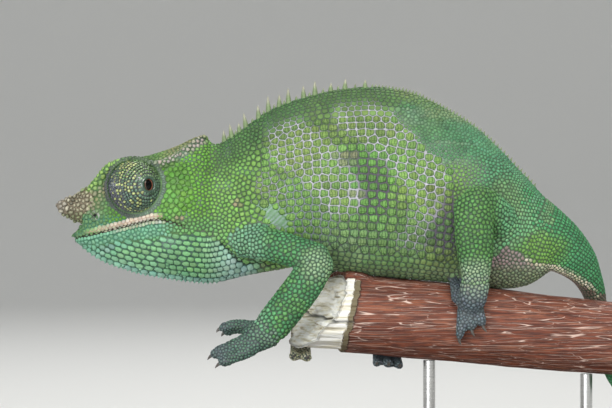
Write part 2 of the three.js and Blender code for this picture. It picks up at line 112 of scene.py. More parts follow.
# The turret of each eye and the fold of skin round it, the eyeball, and where each eye looks.
TURRET = {"x": -65.8, "y": 6.0, "z": 83.9, "radius": 7.4, "fold": 0.8}
EYE = {"radius": 2.7, "opening": 1.5}
GAZE = {-1: [0.585, -0.81, 0.07], 1: [-0.42, 0.88, 0.12]}

# Crest cones from the nape to the top of the back, in rows of [x, height].
SPINES = [
    [-41.4, 2.6], [-39.4, 3.2], [-37.2, 1.9], [-35.4, 3.5], [-31.8, 2.9], [-29, 3.7], [-26, 2.7],
    [-23.4, 3.5], [-19.2, 2.9], [-16, 3.2], [-11.6, 1.7], [-7.6, 2.3], [-2, 1.6],
]

# The perch: its ends, radius and height at x = 0, and how they change; the broken face; the torn bark.
PERCH = {"left": -26, "right": 98, "radius": 10.8, "taper": 0.006, "z": 47.7, "slope": -0.092}
BREAK = {"way": [1, 0.486, -0.62], "place": [-15, 0, 48.8]}
PEEL = {"x": -6.8, "z": 48, "slant": 0.24}

# The tail: [x, y, z, half height, half width] down to the perch, then a coil round it.
TAIL_ROOT = [
    [34, 0, 77, 12, 7], [45, 0.2, 71.4, 10.2, 6], [52.2, 1, 67.6, 8, 5], [58.2, 3.2, 62.6, 5.8, 4.1],
    [62.2, 7, 56.6, 3.9, 3.4],
]
# The coil winds round the perch by so many turns from its first angle, with so many degrees to a row.
COIL = {"x": 65.2, "pitch": 17, "from": 62, "turns": 1.42, "root": 2.9, "tip": 0.75, "step": 40}

# The throat's upper edge, the fold behind it, and how far apart its rows of plates lie.
THROAT_TOP = [
    [-84, 66.8], [-76, 67], [-70, 68.2], [-62, 68.8], [-54, 70.2], [-48, 70.8], [-43, 68.6], [-39, 65.2],
    [-35, 62.4], [-28, 61.4],
]
THROAT_FOLD = [[-41.5, 68], [-39.5, 65.4], [-37, 63.4], [-34, 62.2], [-27, 61.8]]
GULAR_PITCH = 1.45

# How much thinner a toe is at its tip, and how many degrees of a lid each of its folds takes.
TOE_TAPER = 0.2
LID_FOLD = 7.6

# The regions of the hide, and its unwrap: how much of it a millimetre takes, and the gap between parts.
REGIONS = ["body", "tail", "arm", "leg", "foot", "toe"]
UNWRAP = {"scale": 0.0052, "gap": 0.004}


# ---- small mathematics ----

def unit(ways):
    """Each vector made one long."""
    return ways / np.maximum(np.linalg.norm(ways, axis=-1, keepdims=True), 1e-12)


def dot(a, b):
    """The scalar product of each pair of vectors."""
    return np.sum(a * b, axis=-1)


def ease(value, low, high):
    """0 below low, 1 above high, and a smooth S between."""
    t = np.clip((np.asarray(value, float) - low) / (high - low), 0, 1)
    return t * t * (3 - 2 * t)


def blend(a, b, share):
    """From a to b by share, for rows of colours or points."""
    a = np.asarray(a, float)
    return a + (np.asarray(b, float) - a) * np.asarray(share)[..., None]


def ridge_at(distance, width):
    """A rounded ridge that is 1 at no distance and fades over width, as a bell curve does."""
    return np.exp(-((distance / width) ** 2))


def through(rows, x):
    """A smooth curve through rows of [x, value]: a cubic between neighbours, whose slope at each row is
    the slope between the rows beside it."""
    xs, values = np.array(rows, float).T
    before = np.maximum(np.arange(len(xs)) - 1, 0)
    after = np.minimum(np.arange(len(xs)) + 1, len(xs) - 1)
    slopes = (values[after] - values[before]) / (xs[after] - xs[before])
    x = np.clip(np.asarray(x, float), xs[0], xs[-1])
    i = np.clip(np.searchsorted(xs, x) - 1, 0, len(xs) - 2)
    t = (x - xs[i]) / (xs[i + 1] - xs[i])
    rise = (xs[i + 1] - xs[i]) * t * (1 - t) * ((1 - t) * slopes[i] - t * slopes[i + 1])
    return values[i] + (values[i + 1] - values[i]) * t * t * (3 - 2 * t) + rise


def slope_of(rows, x):
    """How far the smooth curve through rows rises over one millimetre at x."""
    return through(rows, x + 0.5) - through(rows, x - 0.5)


def along(rows, shares):
    """Points at shares of a uniform Catmull-Rom curve through rows of any width."""
    rows = np.array(rows, float)
    rows = np.vstack([2 * rows[0] - rows[1], rows, 2 * rows[-1] - rows[-2]])
    at = np.clip(shares, 0, 1) * (len(rows) - 3)
    i = np.minimum(at.astype(int), len(rows) - 4)
    t = (at - i)[:, None]
    a, b, c, d = rows[i], rows[i + 1], rows[i + 2], rows[i + 3]
    return 0.5 * (2 * b + (c - a) * t + (2 * a - 5 * b + 4 * c - d) * t**2 + (3 * b - a - 3 * c + d) * t**3)


def evenly(rows, pitch):
    """Points about pitch apart along the smooth curve through rows."""
    fine = along(rows, np.linspace(0, 1, 400))
    run = np.concatenate([[0], np.cumsum(np.linalg.norm(np.diff(fine[:, :3], axis=0), axis=1))])
    stops = np.linspace(0, run[-1], max(2, round(run[-1] / pitch) + 1))
    return np.column_stack([np.interp(stops, run, column) for column in fine.T])


def noise(place, pitch, seed=0):
    """Smooth random numbers from 0 to 1 that change over about pitch: values hashed at the corners of a
    cubic lattice, blended between."""
    at = np.asarray(place, float) / pitch
    low = np.floor(at).astype(np.int64)
    part = at - low
    part = part * part * (3 - 2 * part)
    total = np.zeros(len(at))
    for corner in np.ndindex(2, 2, 2):
        key = (low + corner) @ np.array([73856093, 19349663, 83492791]) + 982451653 * (seed + 1)
        key = ((key ^ (key >> 13)) * 1274126177) & 0xFFFFFFFF
        key = ((key ^ (key >> 15)) * 668265263) & 0xFFFFFFFF
        weight = np.prod(np.where(corner, part, 1 - part), axis=1)
        total += weight * ((key ^ (key >> 16)) & 0xFFFF) / 65535
    return total


def neighbours(queries, points, count, reach):
    """For each query, the indexes of its nearest points within reach, and how far away they are.

    Both are sorted along X and each run of queries looks only at the points in its own stretch. Where
    there are fewer points than count, the rest are infinitely far."""
    point_order = np.argsort(points[:, 0])
    sorted_points = points[point_order]
    query_order = np.argsort(queries[:, 0])
    found = np.zeros((len(queries), count), int)
    away = np.full((len(queries), count), np.inf)
    for start in range(0, len(queries), 256):
        chosen = query_order[start:start + 256]
        block = queries[chosen]
        low = np.searchsorted(sorted_points[:, 0], block[0, 0] - reach)
        high = np.searchsorted(sorted_points[:, 0], block[-1, 0] + reach)
        if low == high:
            continue
        window = sorted_points[low:high]
        square = (block**2).sum(1)[:, None] + (window**2).sum(1) - 2 * block @ window.T
        kept = min(count, high - low)
        nearest = np.argpartition(square, kept - 1, axis=1)[:, :kept]
        distance = np.sqrt(np.maximum(np.take_along_axis(square, nearest, 1), 0))
        order = np.argsort(distance, axis=1)
        distance = np.take_along_axis(distance, order, 1)
        found[chosen, :kept] = point_order[low + np.take_along_axis(nearest, order, 1)]
        away[chosen, :kept] = np.where(distance <= reach, distance, np.inf)
    return found, away


# ---- shapes on grids ----

def section(x, grow):
    """The measures of the body's section at x: the height of its widest place, how far it reaches below
    and above that, half its width, and the powers that close it below and above."""
    bottom = through(BELLY, x) - grow
    top = through(BACK, x) + grow
    widest = bottom + through(WIDEST, x) * (top - bottom)
    half = through(HALF_WIDTH, x) + grow
    return widest, widest - bottom, top - widest, half, through(BELLY_EDGE, x), through(BACK_EDGE, x)


def body_points(x, turn, grow=0.0):
    """Points on the body: at each x an oval whose height runs with the cosine of turn, from the belly at
    0 to the back at half a turn, and whose width is the sine raised to a power."""
    widest, below, above, half, belly_edge, back_edge = section(x, grow)
    lift = -np.cos(turn)
    height = widest + lift * np.where(lift < 0, below, above)
    edge = np.where(lift < 0, belly_edge, back_edge)
    width = np.sign(np.sin(turn)) * half * np.abs(np.sin(turn)) ** edge
    return np.stack(np.broadcast_arrays(x, width, height), axis=-1)


def on_side(x, z, side):
    """The points of the body's side that are at x and z in side view."""
    widest, below, above, half, belly_edge, back_edge = section(x, 0)
    lift = np.clip(np.where(z < widest, (z - widest) / below, (z - widest) / above), -1, 1)
    edge = np.where(z < widest, belly_edge, back_edge)
    return np.stack([x, side * half * (1 - lift**2) ** (edge / 2), z], axis=-1)


@cache
def side_chart():
    """The right side of the body as a table: stations along X, and even steps of girth from the back's
    ridge to the belly's middle. Returns the table and each station's girth from ridge to belly."""
    x = np.linspace(FRONT, REAR, 269)
    points = body_points(x[:, None], np.linspace(np.pi, 0, 241)[None, :])
    steps = np.linalg.norm(np.diff(points, axis=1), axis=2)
    run = np.concatenate([np.zeros((len(x), 1)), np.cumsum(steps, axis=1)], axis=1)
    even = np.linspace(0, 1, 161)
    table = np.array([
        np.column_stack([np.interp(even * r[-1], r, column) for column in p.T])
        for p, r in zip(points, run)
    ])
    return table, run[:, -1]


def on_chart(x, share, side):
    """Points of the body at x and at a share of the girth, from 0 on the ridge to 1 under the belly."""
    table, _ = side_chart()
    i = np.clip((x - FRONT) / (REAR - FRONT) * (len(table) - 1), 0, len(table) - 1.001)
    j = np.clip(share * (table.shape[1] - 1), 0, table.shape[1] - 1.001)
    i0, j0 = i.astype(int), j.astype(int)
    u, v = (i - i0)[:, None], (j - j0)[:, None]
    near = table[i0, j0] * (1 - v) + table[i0, j0 + 1] * v
    far = table[i0 + 1, j0] * (1 - v) + table[i0 + 1, j0 + 1] * v
    return (near * (1 - u) + far * u) * [1, side, 1]


def girth(x):
    """The length from the back's ridge to the belly's middle, round the side."""
    return np.interp(x, np.linspace(FRONT, REAR, 269), side_chart()[1])


def tube_grid(rows, rings, around, grow=0.0, round_from=True, round_to=True):
    """A limb: an oval carried along the smooth line through rows of [x, y, z, half height, half width].
    Each ring is centre + up * a * cos + side * b * sin; a round end is rings that shrink as a sine's
    quarter turn does."""
    rows = [[*row, row[-1]] if len(row) == 4 else row for row in rows]
    shares = np.linspace(0, 1, rings)
    line = along(rows, shares)
    centre, sizes = line[:, :3], np.maximum(line[:, 3:5] + grow, 0.05)
    ahead = unit(np.gradient(centre, axis=0))
    side = np.empty_like(ahead)
    held = np.array([0.0, 1.0, 0.0])
    for i, way in enumerate(ahead):
        held = unit(held - way * (held @ way))
        side[i] = held
    turn = 2 * np.pi * np.arange(around) / around
    shrink, slide, base = np.ones(rings), np.zeros(rings), np.arange(rings)
    cap = np.radians([15, 35, 55, 72, 84])
    if round_from:
        base = np.concatenate([np.zeros(len(cap), int), base])
        shrink = np.concatenate([np.cos(cap)[::-1], shrink])
        slide = np.concatenate([-np.sin(cap)[::-1], slide])
    if round_to:
        base = np.concatenate([base, np.full(len(cap), rings - 1)])
        shrink = np.concatenate([shrink, np.cos(cap)])
        slide = np.concatenate([slide, np.sin(cap)])
    middle = centre[base] + ahead[base] * (slide * sizes[base].min(axis=1))[:, None]
    up = np.cross(ahead, side)[base]
    high = (sizes[base, 0] * shrink)[:, None, None] * np.cos(turn)[:, None]
    wide = (sizes[base, 1] * shrink)[:, None, None] * np.sin(turn)[:, None]
    return middle[:, None] + up[:, None] * high + side[base][:, None] * wide


def ring_faces(rings, around, start=0):
    """Quads between neighbouring rings, each ring closed on itself."""
    i = np.arange(rings - 1)[:, None] * around + start
    j = np.arange(around)[None, :]
    k = (j + 1) % around
    return np.stack([i + j, i + k, i + around + k, i + around + j], axis=-1).reshape(-1, 4)


def closed(grid):
    """A grid of rings as a closed skin, with a point at the middle of each end and faces outwards."""
    rings, around = grid.shape[:2]
    points = np.vstack([grid.reshape(-1, 3), grid[0].mean(0), grid[-1].mean(0)])
    j = np.arange(around)
    k = (j + 1) % around
    last = (rings - 1) * around
    caps = np.vstack([
        np.stack([np.full(around, rings * around), k, j], axis=1),
        np.stack([np.full(around, rings * around + 1), last + j, last + k], axis=1),
    ])
    return outward(points, [ring_faces(rings, around), caps])


def endless(grid):
    """A grid that closes on itself both ways, as a ring's skin."""
    index = np.arange(grid.shape[0] * grid.shape[1]).reshape(grid.shape[:2])
    far = np.roll(index, -1, axis=0)
    quads = np.stack([index, np.roll(index, -1, axis=1), np.roll(far, -1, axis=1), far], axis=-1)
    return outward(grid.reshape(-1, 3), [quads.reshape(-1, 4)])


def outward(points, faces):
    """The same skin, turned so that its volume, summed over the faces, is positive."""
    volume = 0.0
    for kind in faces:
        for corner in range(1, kind.shape[1] - 1):
            a, b, c = points[kind[:, 0]], points[kind[:, corner]], points[kind[:, corner + 1]]
            volume += dot(a, np.cross(b, c)).sum()
    return points, [kind[:, ::-1] for kind in faces] if volume < 0 else faces


def joined(skins):
    """Several skins as one, with their faces' numbers moved up."""
    points, faces, start = [], {}, 0
    for skin_points, skin_faces in skins:
        for kind in skin_faces:
            faces.setdefault(kind.shape[1], []).append(kind + start)
        points.append(skin_points)
        start += len(skin_points)
    return np.vstack(points), [np.vstack(kind) for kind in faces.values()]


def mirrored(rows, side):
    """Rows of [x, y, z, ...] on one side of the animal."""
    return [[x, y * side, z, *sizes] for x, y, z, *sizes in rows]


# ---- meshes ----

def fill_mesh(mesh, points, faces):
    """Puts arrays of points and faces into an empty mesh."""
    corners = np.concatenate([kind.ravel() for kind in faces])
    counts = np.concatenate([np.full(len(kind), kind.shape[1]) for kind in faces])
    mesh.vertices.add(len(points))
    mesh.vertices.foreach_set("co", np.ascontiguousarray(points, np.float32).ravel())
    mesh.loops.add(len(corners))
    mesh.loops.foreach_set("vertex_index", corners.astype(np.int32))
    mesh.polygons.add(len(counts))
    mesh.polygons.foreach_set("loop_start", (np.cumsum(counts) - counts).astype(np.int32))
    mesh.polygons.foreach_set("use_smooth", np.ones(len(counts), bool))
    mesh.update(calc_edges=True)
    mesh.validate()


def mesh_arrays(mesh):
    """The points of a mesh in its own units, and its faces, an array for each number of corners."""
    points = np.empty(len(mesh.vertices) * 3, np.float32)
    mesh.vertices.foreach_get("co", points)
    corners = np.empty(len(mesh.loops), np.int32)
    mesh.loops.foreach_get("vertex_index", corners)
    starts = np.empty(len(mesh.polygons), np.int32)
    mesh.polygons.foreach_get("loop_start", starts)
    counts = np.diff(np.append(starts, len(corners)))
    faces = [corners[starts[counts == n][:, None] + np.arange(n)] for n in np.unique(counts)]
    return points.reshape(-1, 3).astype(float), faces


def make_piece(name, skin, material, nodes=(), tint=None, values=None):
    """One finished piece from a skin in millimetres, riding on the model's only body."""
    points, faces = skin
    mesh = bpy.data.meshes.new(name)
    fill_mesh(mesh, points * MM, faces)
    if tint is not None:
        colours = np.column_stack([np.clip(tint, 0, 1), np.ones(len(points))]).astype(np.float32)
        mesh.attributes.new("tint", "FLOAT_COLOR", "POINT").data.foreach_set("color", colours.ravel())
    for key, value in (values or {}).items():
        mesh.attributes.new(key, "FLOAT", "POINT").data.foreach_set("value", value.astype(np.float32))
    mesh.materials.append(material)
    piece = bpy.data.objects.new(name, mesh)
    bpy.context.scene.collection.objects.link(piece)
    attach(piece, BODY)
    if nodes:
        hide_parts(*nodes)
    return piece


def vertex_normals(points, faces):
    """The way out at each point: the sum of its faces' normals, weighted by their area."""
    total = np.zeros_like(points)
    for kind in faces:
        normal = np.cross(points[kind[:, 2]] - points[kind[:, 0]], points[kind[:, -1]] - points[kind[:, 1]])
        for corner in kind.T:
            for axis in range(3):
                total[:, axis] += np.bincount(corner, normal[:, axis], len(points))
    return unit(total)


def relaxed(points, faces, steps, weight=1.0):
    """Points moved towards the middle of their neighbours by turns, and half back after each turn, so
    that ridges soften and the shape keeps its size. weight, one for each point, scales the move."""
    pairs = np.vstack([
        np.stack([kind, np.roll(kind, -1, axis=1)], axis=-1).reshape(-1, 2) for kind in faces
    ])
    degree = np.bincount(pairs[:, 0], minlength=len(points)).astype(float)
    points = points.copy()
    for _ in range(steps):
        for amount in (0.6, -0.3):
            mean = np.stack([
                np.bincount(pairs[:, 0], points[pairs[:, 1], axis], len(points)) for axis in range(3)
            ], axis=1) / degree[:, None]
            points += (mean - points) * (amount * weight)
    return points


# ---- the parts that the hide wraps ----

def perch_height(x):
    """How high the branch's middle line is."""
    return PERCH["z"] + PERCH["slope"] * x


def perch_radius(x):
    """The branch's radius, which tapers along it."""
    return PERCH["radius"] - PERCH["taper"] * x


def on_perch(x, degrees, off):
    """A point at a distance off the bark, at an angle from the perch's top towards +Y."""
    turn = np.radians(degrees)
    reach = perch_radius(x) + off
    return [x, reach * np.sin(turn), perch_height(x) + reach * np.cos(turn)]


def gripping(tips, start, radius, hook):
    """Toes that leave the palm close together and follow the perch's round. Each tip is [x, angle]."""
    middle = sum(x for x, _ in tips) / len(tips)
    toes = []
    for x, last in tips:
        way = []
        for share in (0, 0.35, 0.7, 1):
            along_perch = middle + (0.6 + 0.4 * share) * (x - middle)
            way.append(on_perch(along_perch, start + (last - start) * share, radius + 0.4))
        toes.append((way, radius, hook))
    return toes


LIMBS = {
    "left_hand": {
        "nodes": ["upper_arm_left", "forearm_left", "hand_left"],
        "upper": [[-35.5, -7, 69, 5, 4], [-27, -13, 67.6, 4.7, 3.9], [-15.4, -17, 64.2, 4.4, 3.6]],
        "lower": [[-15, -17.2, 63.2, 4.6, 3.6], [-19.8, -17.6, 56, 5.2, 3.5], [-27.6, -16.6, 46, 5, 3.3]],
        "palm": [[-28.8, -16.2, 44.4, 4.7, 3.2], [-33, -15.6, 42.2, 4.2, 3]],
        "toes": [
            ([[-34, -15.4, 42], [-39.4, -15.6, 40], [-43.2, -15.4, 38.3]], 2.3, [-0.3, 0.4, -1]),
            ([[-33.5, -17, 39.6], [-38, -17.6, 37.5], [-41, -17.6, 36.2]], 2.3, [-0.3, 0.4, -1]),
            ([[-33.5, -12.4, 45.7], [-38, -11, 45.9], [-41.4, -10.4, 45]], 2, [0, -0.4, -1]),
            ([[-33.5, -11.4, 44.6], [-37.4, -9, 44.6], [-40.2, -8.2, 43.8]], 2, [0, -0.4, -1]),
            ([[-32.5, -9.8, 45.4], [-35.8, -7.2, 45.6], [-38.4, -6.2, 44.8]], 1.9, [0, -0.4, -1]),
        ],
    },
    "right_hand": {
        "nodes": ["upper_arm_right", "forearm_right", "hand_right"],
        "upper": [[-35.5, 7, 69, 5, 4], [-27, 13, 67.8, 4.7, 3.9], [-15.6, 18.4, 65, 4.4, 3.6]],
        "lower": [[-14.6, 18.6, 64, 4.6, 3.6], [-14.8, 18.8, 57.6, 4.9, 3.4], [-17.4, 17.4, 50.8, 4.2, 3.1]],
        "palm": [[-17.8, 16.6, 49.4, 4.1, 3], [-18.8, 15.2, 44.8, 4, 2.8]],
        "toes": [
            *gripping([[-21.9, 190], [-18.2, 190]], 118, 1.95, [0.6, -0.6, 1]),
            *gripping([[-17, 52], [-14.2, 48], [-11.6, 46]], 82, 1.8, [0.4, -1, -0.6]),
        ],
    },
    "left_foot": {
        "nodes": ["thigh_left", "shin_left", "foot_left"],
        "upper": [[35.5, -5, 71, 6.6, 4.6], [31.5, -11, 76.4, 6.4, 4.4], [27.4, -15.2, 79.6, 5.6, 3.9]],
        "lower": [[27.2, -15.6, 78.4, 5.6, 3.9], [27.5, -16.2, 69, 5.4, 3.7], [27.9, -14.9, 59.6, 4.2, 3.2]],
        "palm": [[27.8, -14.6, 57.8, 4.2, 3.1], [26.9, -14.2, 52.6, 4.1, 2.9]],
        "toes": [
            *gripping([[23.6, -101], [26.9, -89], [29.8, -83]], -60, 1.85, [0.9, 0.3, -0.6]),
            *gripping([[22.4, -22], [25.4, -18]], -54, 1.8, [0, 1, -1]),
        ],
    },
    "right_foot": {
        "nodes": ["thigh_right", "shin_right", "foot_right"],
        "upper": [[34, 5, 73, 6.6, 4.6], [24.6, 12, 77, 6.2, 4.4], [15.6, 16.6, 77, 5.3, 3.9]],
        "lower": [[14.6, 16.8, 76, 5.4, 3.9], [10.2, 17.4, 67, 5.1, 3.7], [7, 15.8, 58, 4.2, 3.2]],
        "palm": [[6.7, 15.5, 56.4, 4.2, 3.1], [5.2, 14.6, 51.6, 4.2, 2.9]],
        "toes": [
            *gripping([[1.2, 188], [4.5, 190], [7.6, 186]], 78, 1.85, [0.4, -0.6, 1]),
            *gripping([[2.2, 20], [5.4, 16]], 54, 1.8, [0, -1, -1]),
        ],
    },
}


def tail_rows():
    """The tail leaves the rump, drops behind the perch and winds along it, ever thinner."""
    angles = COIL["step"] * np.arange(round(360 * COIL["turns"] / COIL["step"]) + 1)
    coil = []
    for angle, radius in zip(angles, np.linspace(COIL["root"], COIL["tip"], len(angles))):
        middle = on_perch(COIL["x"] + COIL["pitch"] * angle / 360, COIL["from"] + angle, radius + 0.6)
        coil.append([*middle, radius, radius])
    return [*TAIL_ROOT, *coil]


def turret_centre(side):
    """The middle of one eye's turret."""
    return np.array([TURRET["x"], side * TURRET["y"], TURRET["z"]])


def fold_grid(side, grow):
    """The ring of skin round a turret: a circle carried round a circle that faces sideways."""
    turn = np.linspace(0, 2 * np.pi, 49)[:-1]
    tube = np.linspace(0, 2 * np.pi, 17)[:-1]
    reach = TURRET["radius"] + 0.45 + (TURRET["fold"] + grow) * np.cos(tube)
    sideways = TURRET["y"] + 1.3 + (TURRET["fold"] + grow) * np.sin(tube)
    x = TURRET["x"] + np.cos(turn)[:, None] * reach
    z = TURRET["z"] + np.sin(turn)[:, None] * reach
    return np.stack(np.broadcast_arrays(x, side * sideways, z), axis=-1)


@cache
def flesh_grids(grow):
    """Every part that the hide wraps, as grids of rings, with the region that each belongs to."""
    share = np.linspace(0, 1, 200) ** 1.2
    x = FRONT + (REAR - FRONT) * share
    turn = 2 * np.pi * np.arange(112) / 112
    body = body_points(x[:, None], turn[None, :], grow)
    body[..., 0] = (FRONT - grow + (REAR - FRONT + 2 * grow) * share)[:, None]
    grids = [("body", body), ("tail", tube_grid(tail_rows(), 220, 36, grow, round_from=False))]
    for side in SIDES.values():
        grids.append(("body", tube_grid(mirrored(CREST, side), 60, 16, grow)))
    for name, limb in LIMBS.items():
        region = "arm" if "hand" in name else "leg"
        grids.append((region, tube_grid(limb["upper"], 36, 32, grow)))
        grids.append((region, tube_grid(limb["lower"], 40, 32, grow)))
        grids.append(("foot", tube_grid(limb["palm"], 14, 32, grow)))
        for way, radius, _ in limb["toes"]:
            thick = radius * (1 - TOE_TAPER * np.linspace(0, 1, len(way)))
            rows = [[*point, size, size] for point, size in zip(way, thick)]
            grids.append(("toe", tube_grid(rows, 18, 20, grow)))
    return grids


# ---- the hide ----

# Where the hide is drawn together, and over how far: the shoulders, the hips, the left wrist and ankle.
JOINTS = [
    ([-31, -10, 68], 8.0), ([-31, 10, 68], 8.0), ([33, -8, 74], 10.0), ([33, 8, 74], 10.0),
    ([-29, -16, 44.5], 5.0), ([27.8, -14.6, 58], 4.5),
]
HEAD_REAR = -45.5


def fused(skin, pitch):
    """One skin round closed shapes that overlap, from a voxel remesh."""
    mesh = bpy.data.meshes.new("flesh")
    fill_mesh(mesh, *skin)
    flesh = bpy.data.objects.new("flesh", mesh)
    bpy.context.scene.collection.objects.link(flesh)
    remesh = flesh.modifiers.new("remesh", "REMESH")
    remesh.mode = "VOXEL"
    remesh.voxel_size = pitch
    bpy.context.view_layer.update()
    whole = bpy.data.meshes.new_from_object(flesh.evaluated_get(bpy.context.evaluated_depsgraph_get()))
    bpy.data.objects.remove(flesh)
    bpy.data.meshes.remove(mesh)
    return whole


def refine_head(mesh):
    """Cuts each edge of the head in two, so that its folds are finer than the body's."""
    work = bmesh.new()
    work.from_mesh(mesh)
    edges = [edge for edge in work.edges if max(v.co.x for v in edge.verts) < HEAD_REAR]
    bmesh.ops.subdivide_edges(work, edges=edges, cuts=1, use_grid_fill=True)
    work.to_mesh(mesh)
    work.free()


def line_distance(place, rows):
    """How far points are, in side view, from a broken line of [x, z], and which side of it they are on,
    positive above."""
    flat = place[:, [0, 2]]
    rows = np.array(rows, float)
    best = np.full(len(place), np.inf)
    over = np.zeros(len(place))
    for a, b in zip(rows[:-1], rows[1:]):
        run = b - a
        t = np.clip((flat - a) @ run / (run @ run), 0, 1)
        gap = flat - (a + t[:, None] * run)
        distance = np.linalg.norm(gap, axis=1)
        nearer = distance < best
        best = np.where(nearer, distance, best)
        over = np.where(nearer, np.sign(gap[:, 1]), over)
    return best, over


def nostril_distance(place):
    """How far points are from the nostril of their side, and far away on the rest of the head."""
    away = np.hypot(place[:, 0] - NOSTRIL[0], place[:, 2] - NOSTRIL[1])
    return np.where(np.abs(place[:, 1]) > 1.5, away, 9.0)


def throat_edge(pitch):
    """The throat's lower edge from the chin to between the arms, as points of [x, z]."""
    x = np.arange(-82.8, -27, pitch)
    return np.column_stack([x, through(BELLY, x)])


def throat_depth(place):
    """How far inside the throat's lower edge a point is, in side view."""
    return line_distance(place, throat_edge(2.2))[0]


def throat_mask(place):
    """1 on the throat and jaw, where scales lie in long rows, and 0 elsewhere."""
    x, _, z = place.T
    top = through(THROAT_TOP, x)
    return ease(top - z, -0.6, 0.6) * ease(-x, 30, 34) * ease(x, -82.5, -79)


def armpit(place):
    """1 on the bare wrinkled skin behind the shoulder."""
    away, _ = line_distance(place, [[-29.5, 77.6], [-24, 73.8]])
    return 1 - ease(away + 1.6 * (noise(place, 2.0, 17) - 0.5), 0.8, 3.4)


def armpit_phase(place):
    """The wrinkles of the armpit, which run down and back."""
    return 2 * np.pi * (0.62 * place[:, 0] + 0.78 * place[:, 2] + 0.8 * noise(place, 3.0, 18)) / 0.95


def hide_relief(place, normal):
    """How far the hide rises at each point, in millimetres: the mouth's slit, the lips, the nostril, the
    grooves of the throat, and creases at the neck and shoulder."""
    x, _, z = place.T
    mouth, _ = line_distance(place, MOUTH_LINE)
    sideways = np.abs(normal[:, 1])
    head = ease(-x, 40, 46)
    slit = -0.7 * ridge_at(mouth, 0.34) * head
    lips = 0.28 * ridge_at(mouth - 0.85, 0.55) * head * (x < MOUTH_CORNER + 1)
    pit = nostril_distance(place)
    nostril = -1.0 * ridge_at(pit, 0.55) + 0.3 * ridge_at(pit - 1.0, 0.35)
    rows = 0.5 + 0.5 * np.cos(2 * np.pi * throat_depth(place) / GULAR_PITCH)
    grooves = -0.22 * throat_mask(place) * rows**3
    crease, _ = line_distance(place, THROAT_FOLD)
    shoulder = -0.9 * ridge_at(crease, 0.6) * ease(sideways, 0.2, 0.5)
    wrinkles = 0.16 * np.cos(armpit_phase(place)) * armpit(place) * ease(sideways, 0.3, 0.7)
    lumps = 0.16 * (noise(place, 5.0, 3) - 0.5)
    under_horn = 1.1 * ease(-x, 77.5, 80) * ridge_at(z - 75.6, 1.7) * (normal[:, 0] < 0.2)
    return slit + lips + nostril + grooves + shoulder + wrinkles + lumps + under_horn


def make_hide(settings):
    """The one skin of the animal, fused from its parts and drawn together at the joints."""
    depth = settings.coat_depth / MM
    parts = [closed(grid) for _, grid in flesh_grids(-depth)]
    parts += [endless(fold_grid(side, -depth / 2)) for side in SIDES.values()]
    mesh = fused(joined(parts), settings.voxel / MM)
    refine_head(mesh)
    points, faces = mesh_arrays(mesh)
    bpy.data.meshes.remove(mesh)
    reach = np.stack([np.linalg.norm(points - place, axis=1) / span for place, span in JOINTS])
    near = 1 - ease(reach.min(axis=0), 0.5, 1.0)
    points = relaxed(points, faces, 4)
    points = relaxed(points, faces, 24, near[:, None])
    normal = vertex_normals(points, faces)
    points = points + normal * hide_relief(points, normal)[:, None]
    nodes = [node for limb in LIMBS.values() for node in limb["nodes"]]
    nodes += [f"{limb}_{which}_toes" for limb in LIMBS for which in ("outer", "inner")]
    nodes += ["head", "cheek", "lower_jaw", "throat", "neck", "trunk", "rump"]
    nodes += [f"tail_{i}" for i in (1, 2, 3, 4)]
    return make_piece("hide", (points, faces), hide_material(), nodes, net_colour(points, settings))


# ---- markings, shared by the hide and its scales ----

# Tones in linear red, green and blue: of the skin between the scales, and of the scales. The skin's crease,
# nostril and mouth tones are painted shade.
SKIN = {
    "body": [0.07, 0.11, 0.06], "head": [0.075, 0.165, 0.05], "throat": [0.065, 0.14, 0.1],
    "jaw": [0.06, 0.2, 0.12], "neck veins": [0.17, 0.24, 0.22], "flank": [0.11, 0.12, 0.105],
    "behind shoulder": [0.24, 0.27, 0.31], "temple": [0.085, 0.19, 0.045], "dusk": [0.07, 0.055, 0.085],
    "smooth back": [0.09, 0.2, 0.1], "armpit": [0.11, 0.25, 0.1], "wrinkles": [0.27, 0.35, 0.34],
    "crease": [0.012, 0.025, 0.02], "turret ring": [0.1, 0.13, 0.11], "nostril rim": [0.3, 0.32, 0.27],
    "nostril": [0.02, 0.02, 0.02], "mouth": [0.03, 0.018, 0.012], "lip": [0.416, 0.272, 0.2],
    "limbs": [0.05, 0.09, 0.05], "feet": [0.055, 0.065, 0.07], "tail": [0.05, 0.1, 0.05],
    "belly": [0.09, 0.1, 0.07],
}
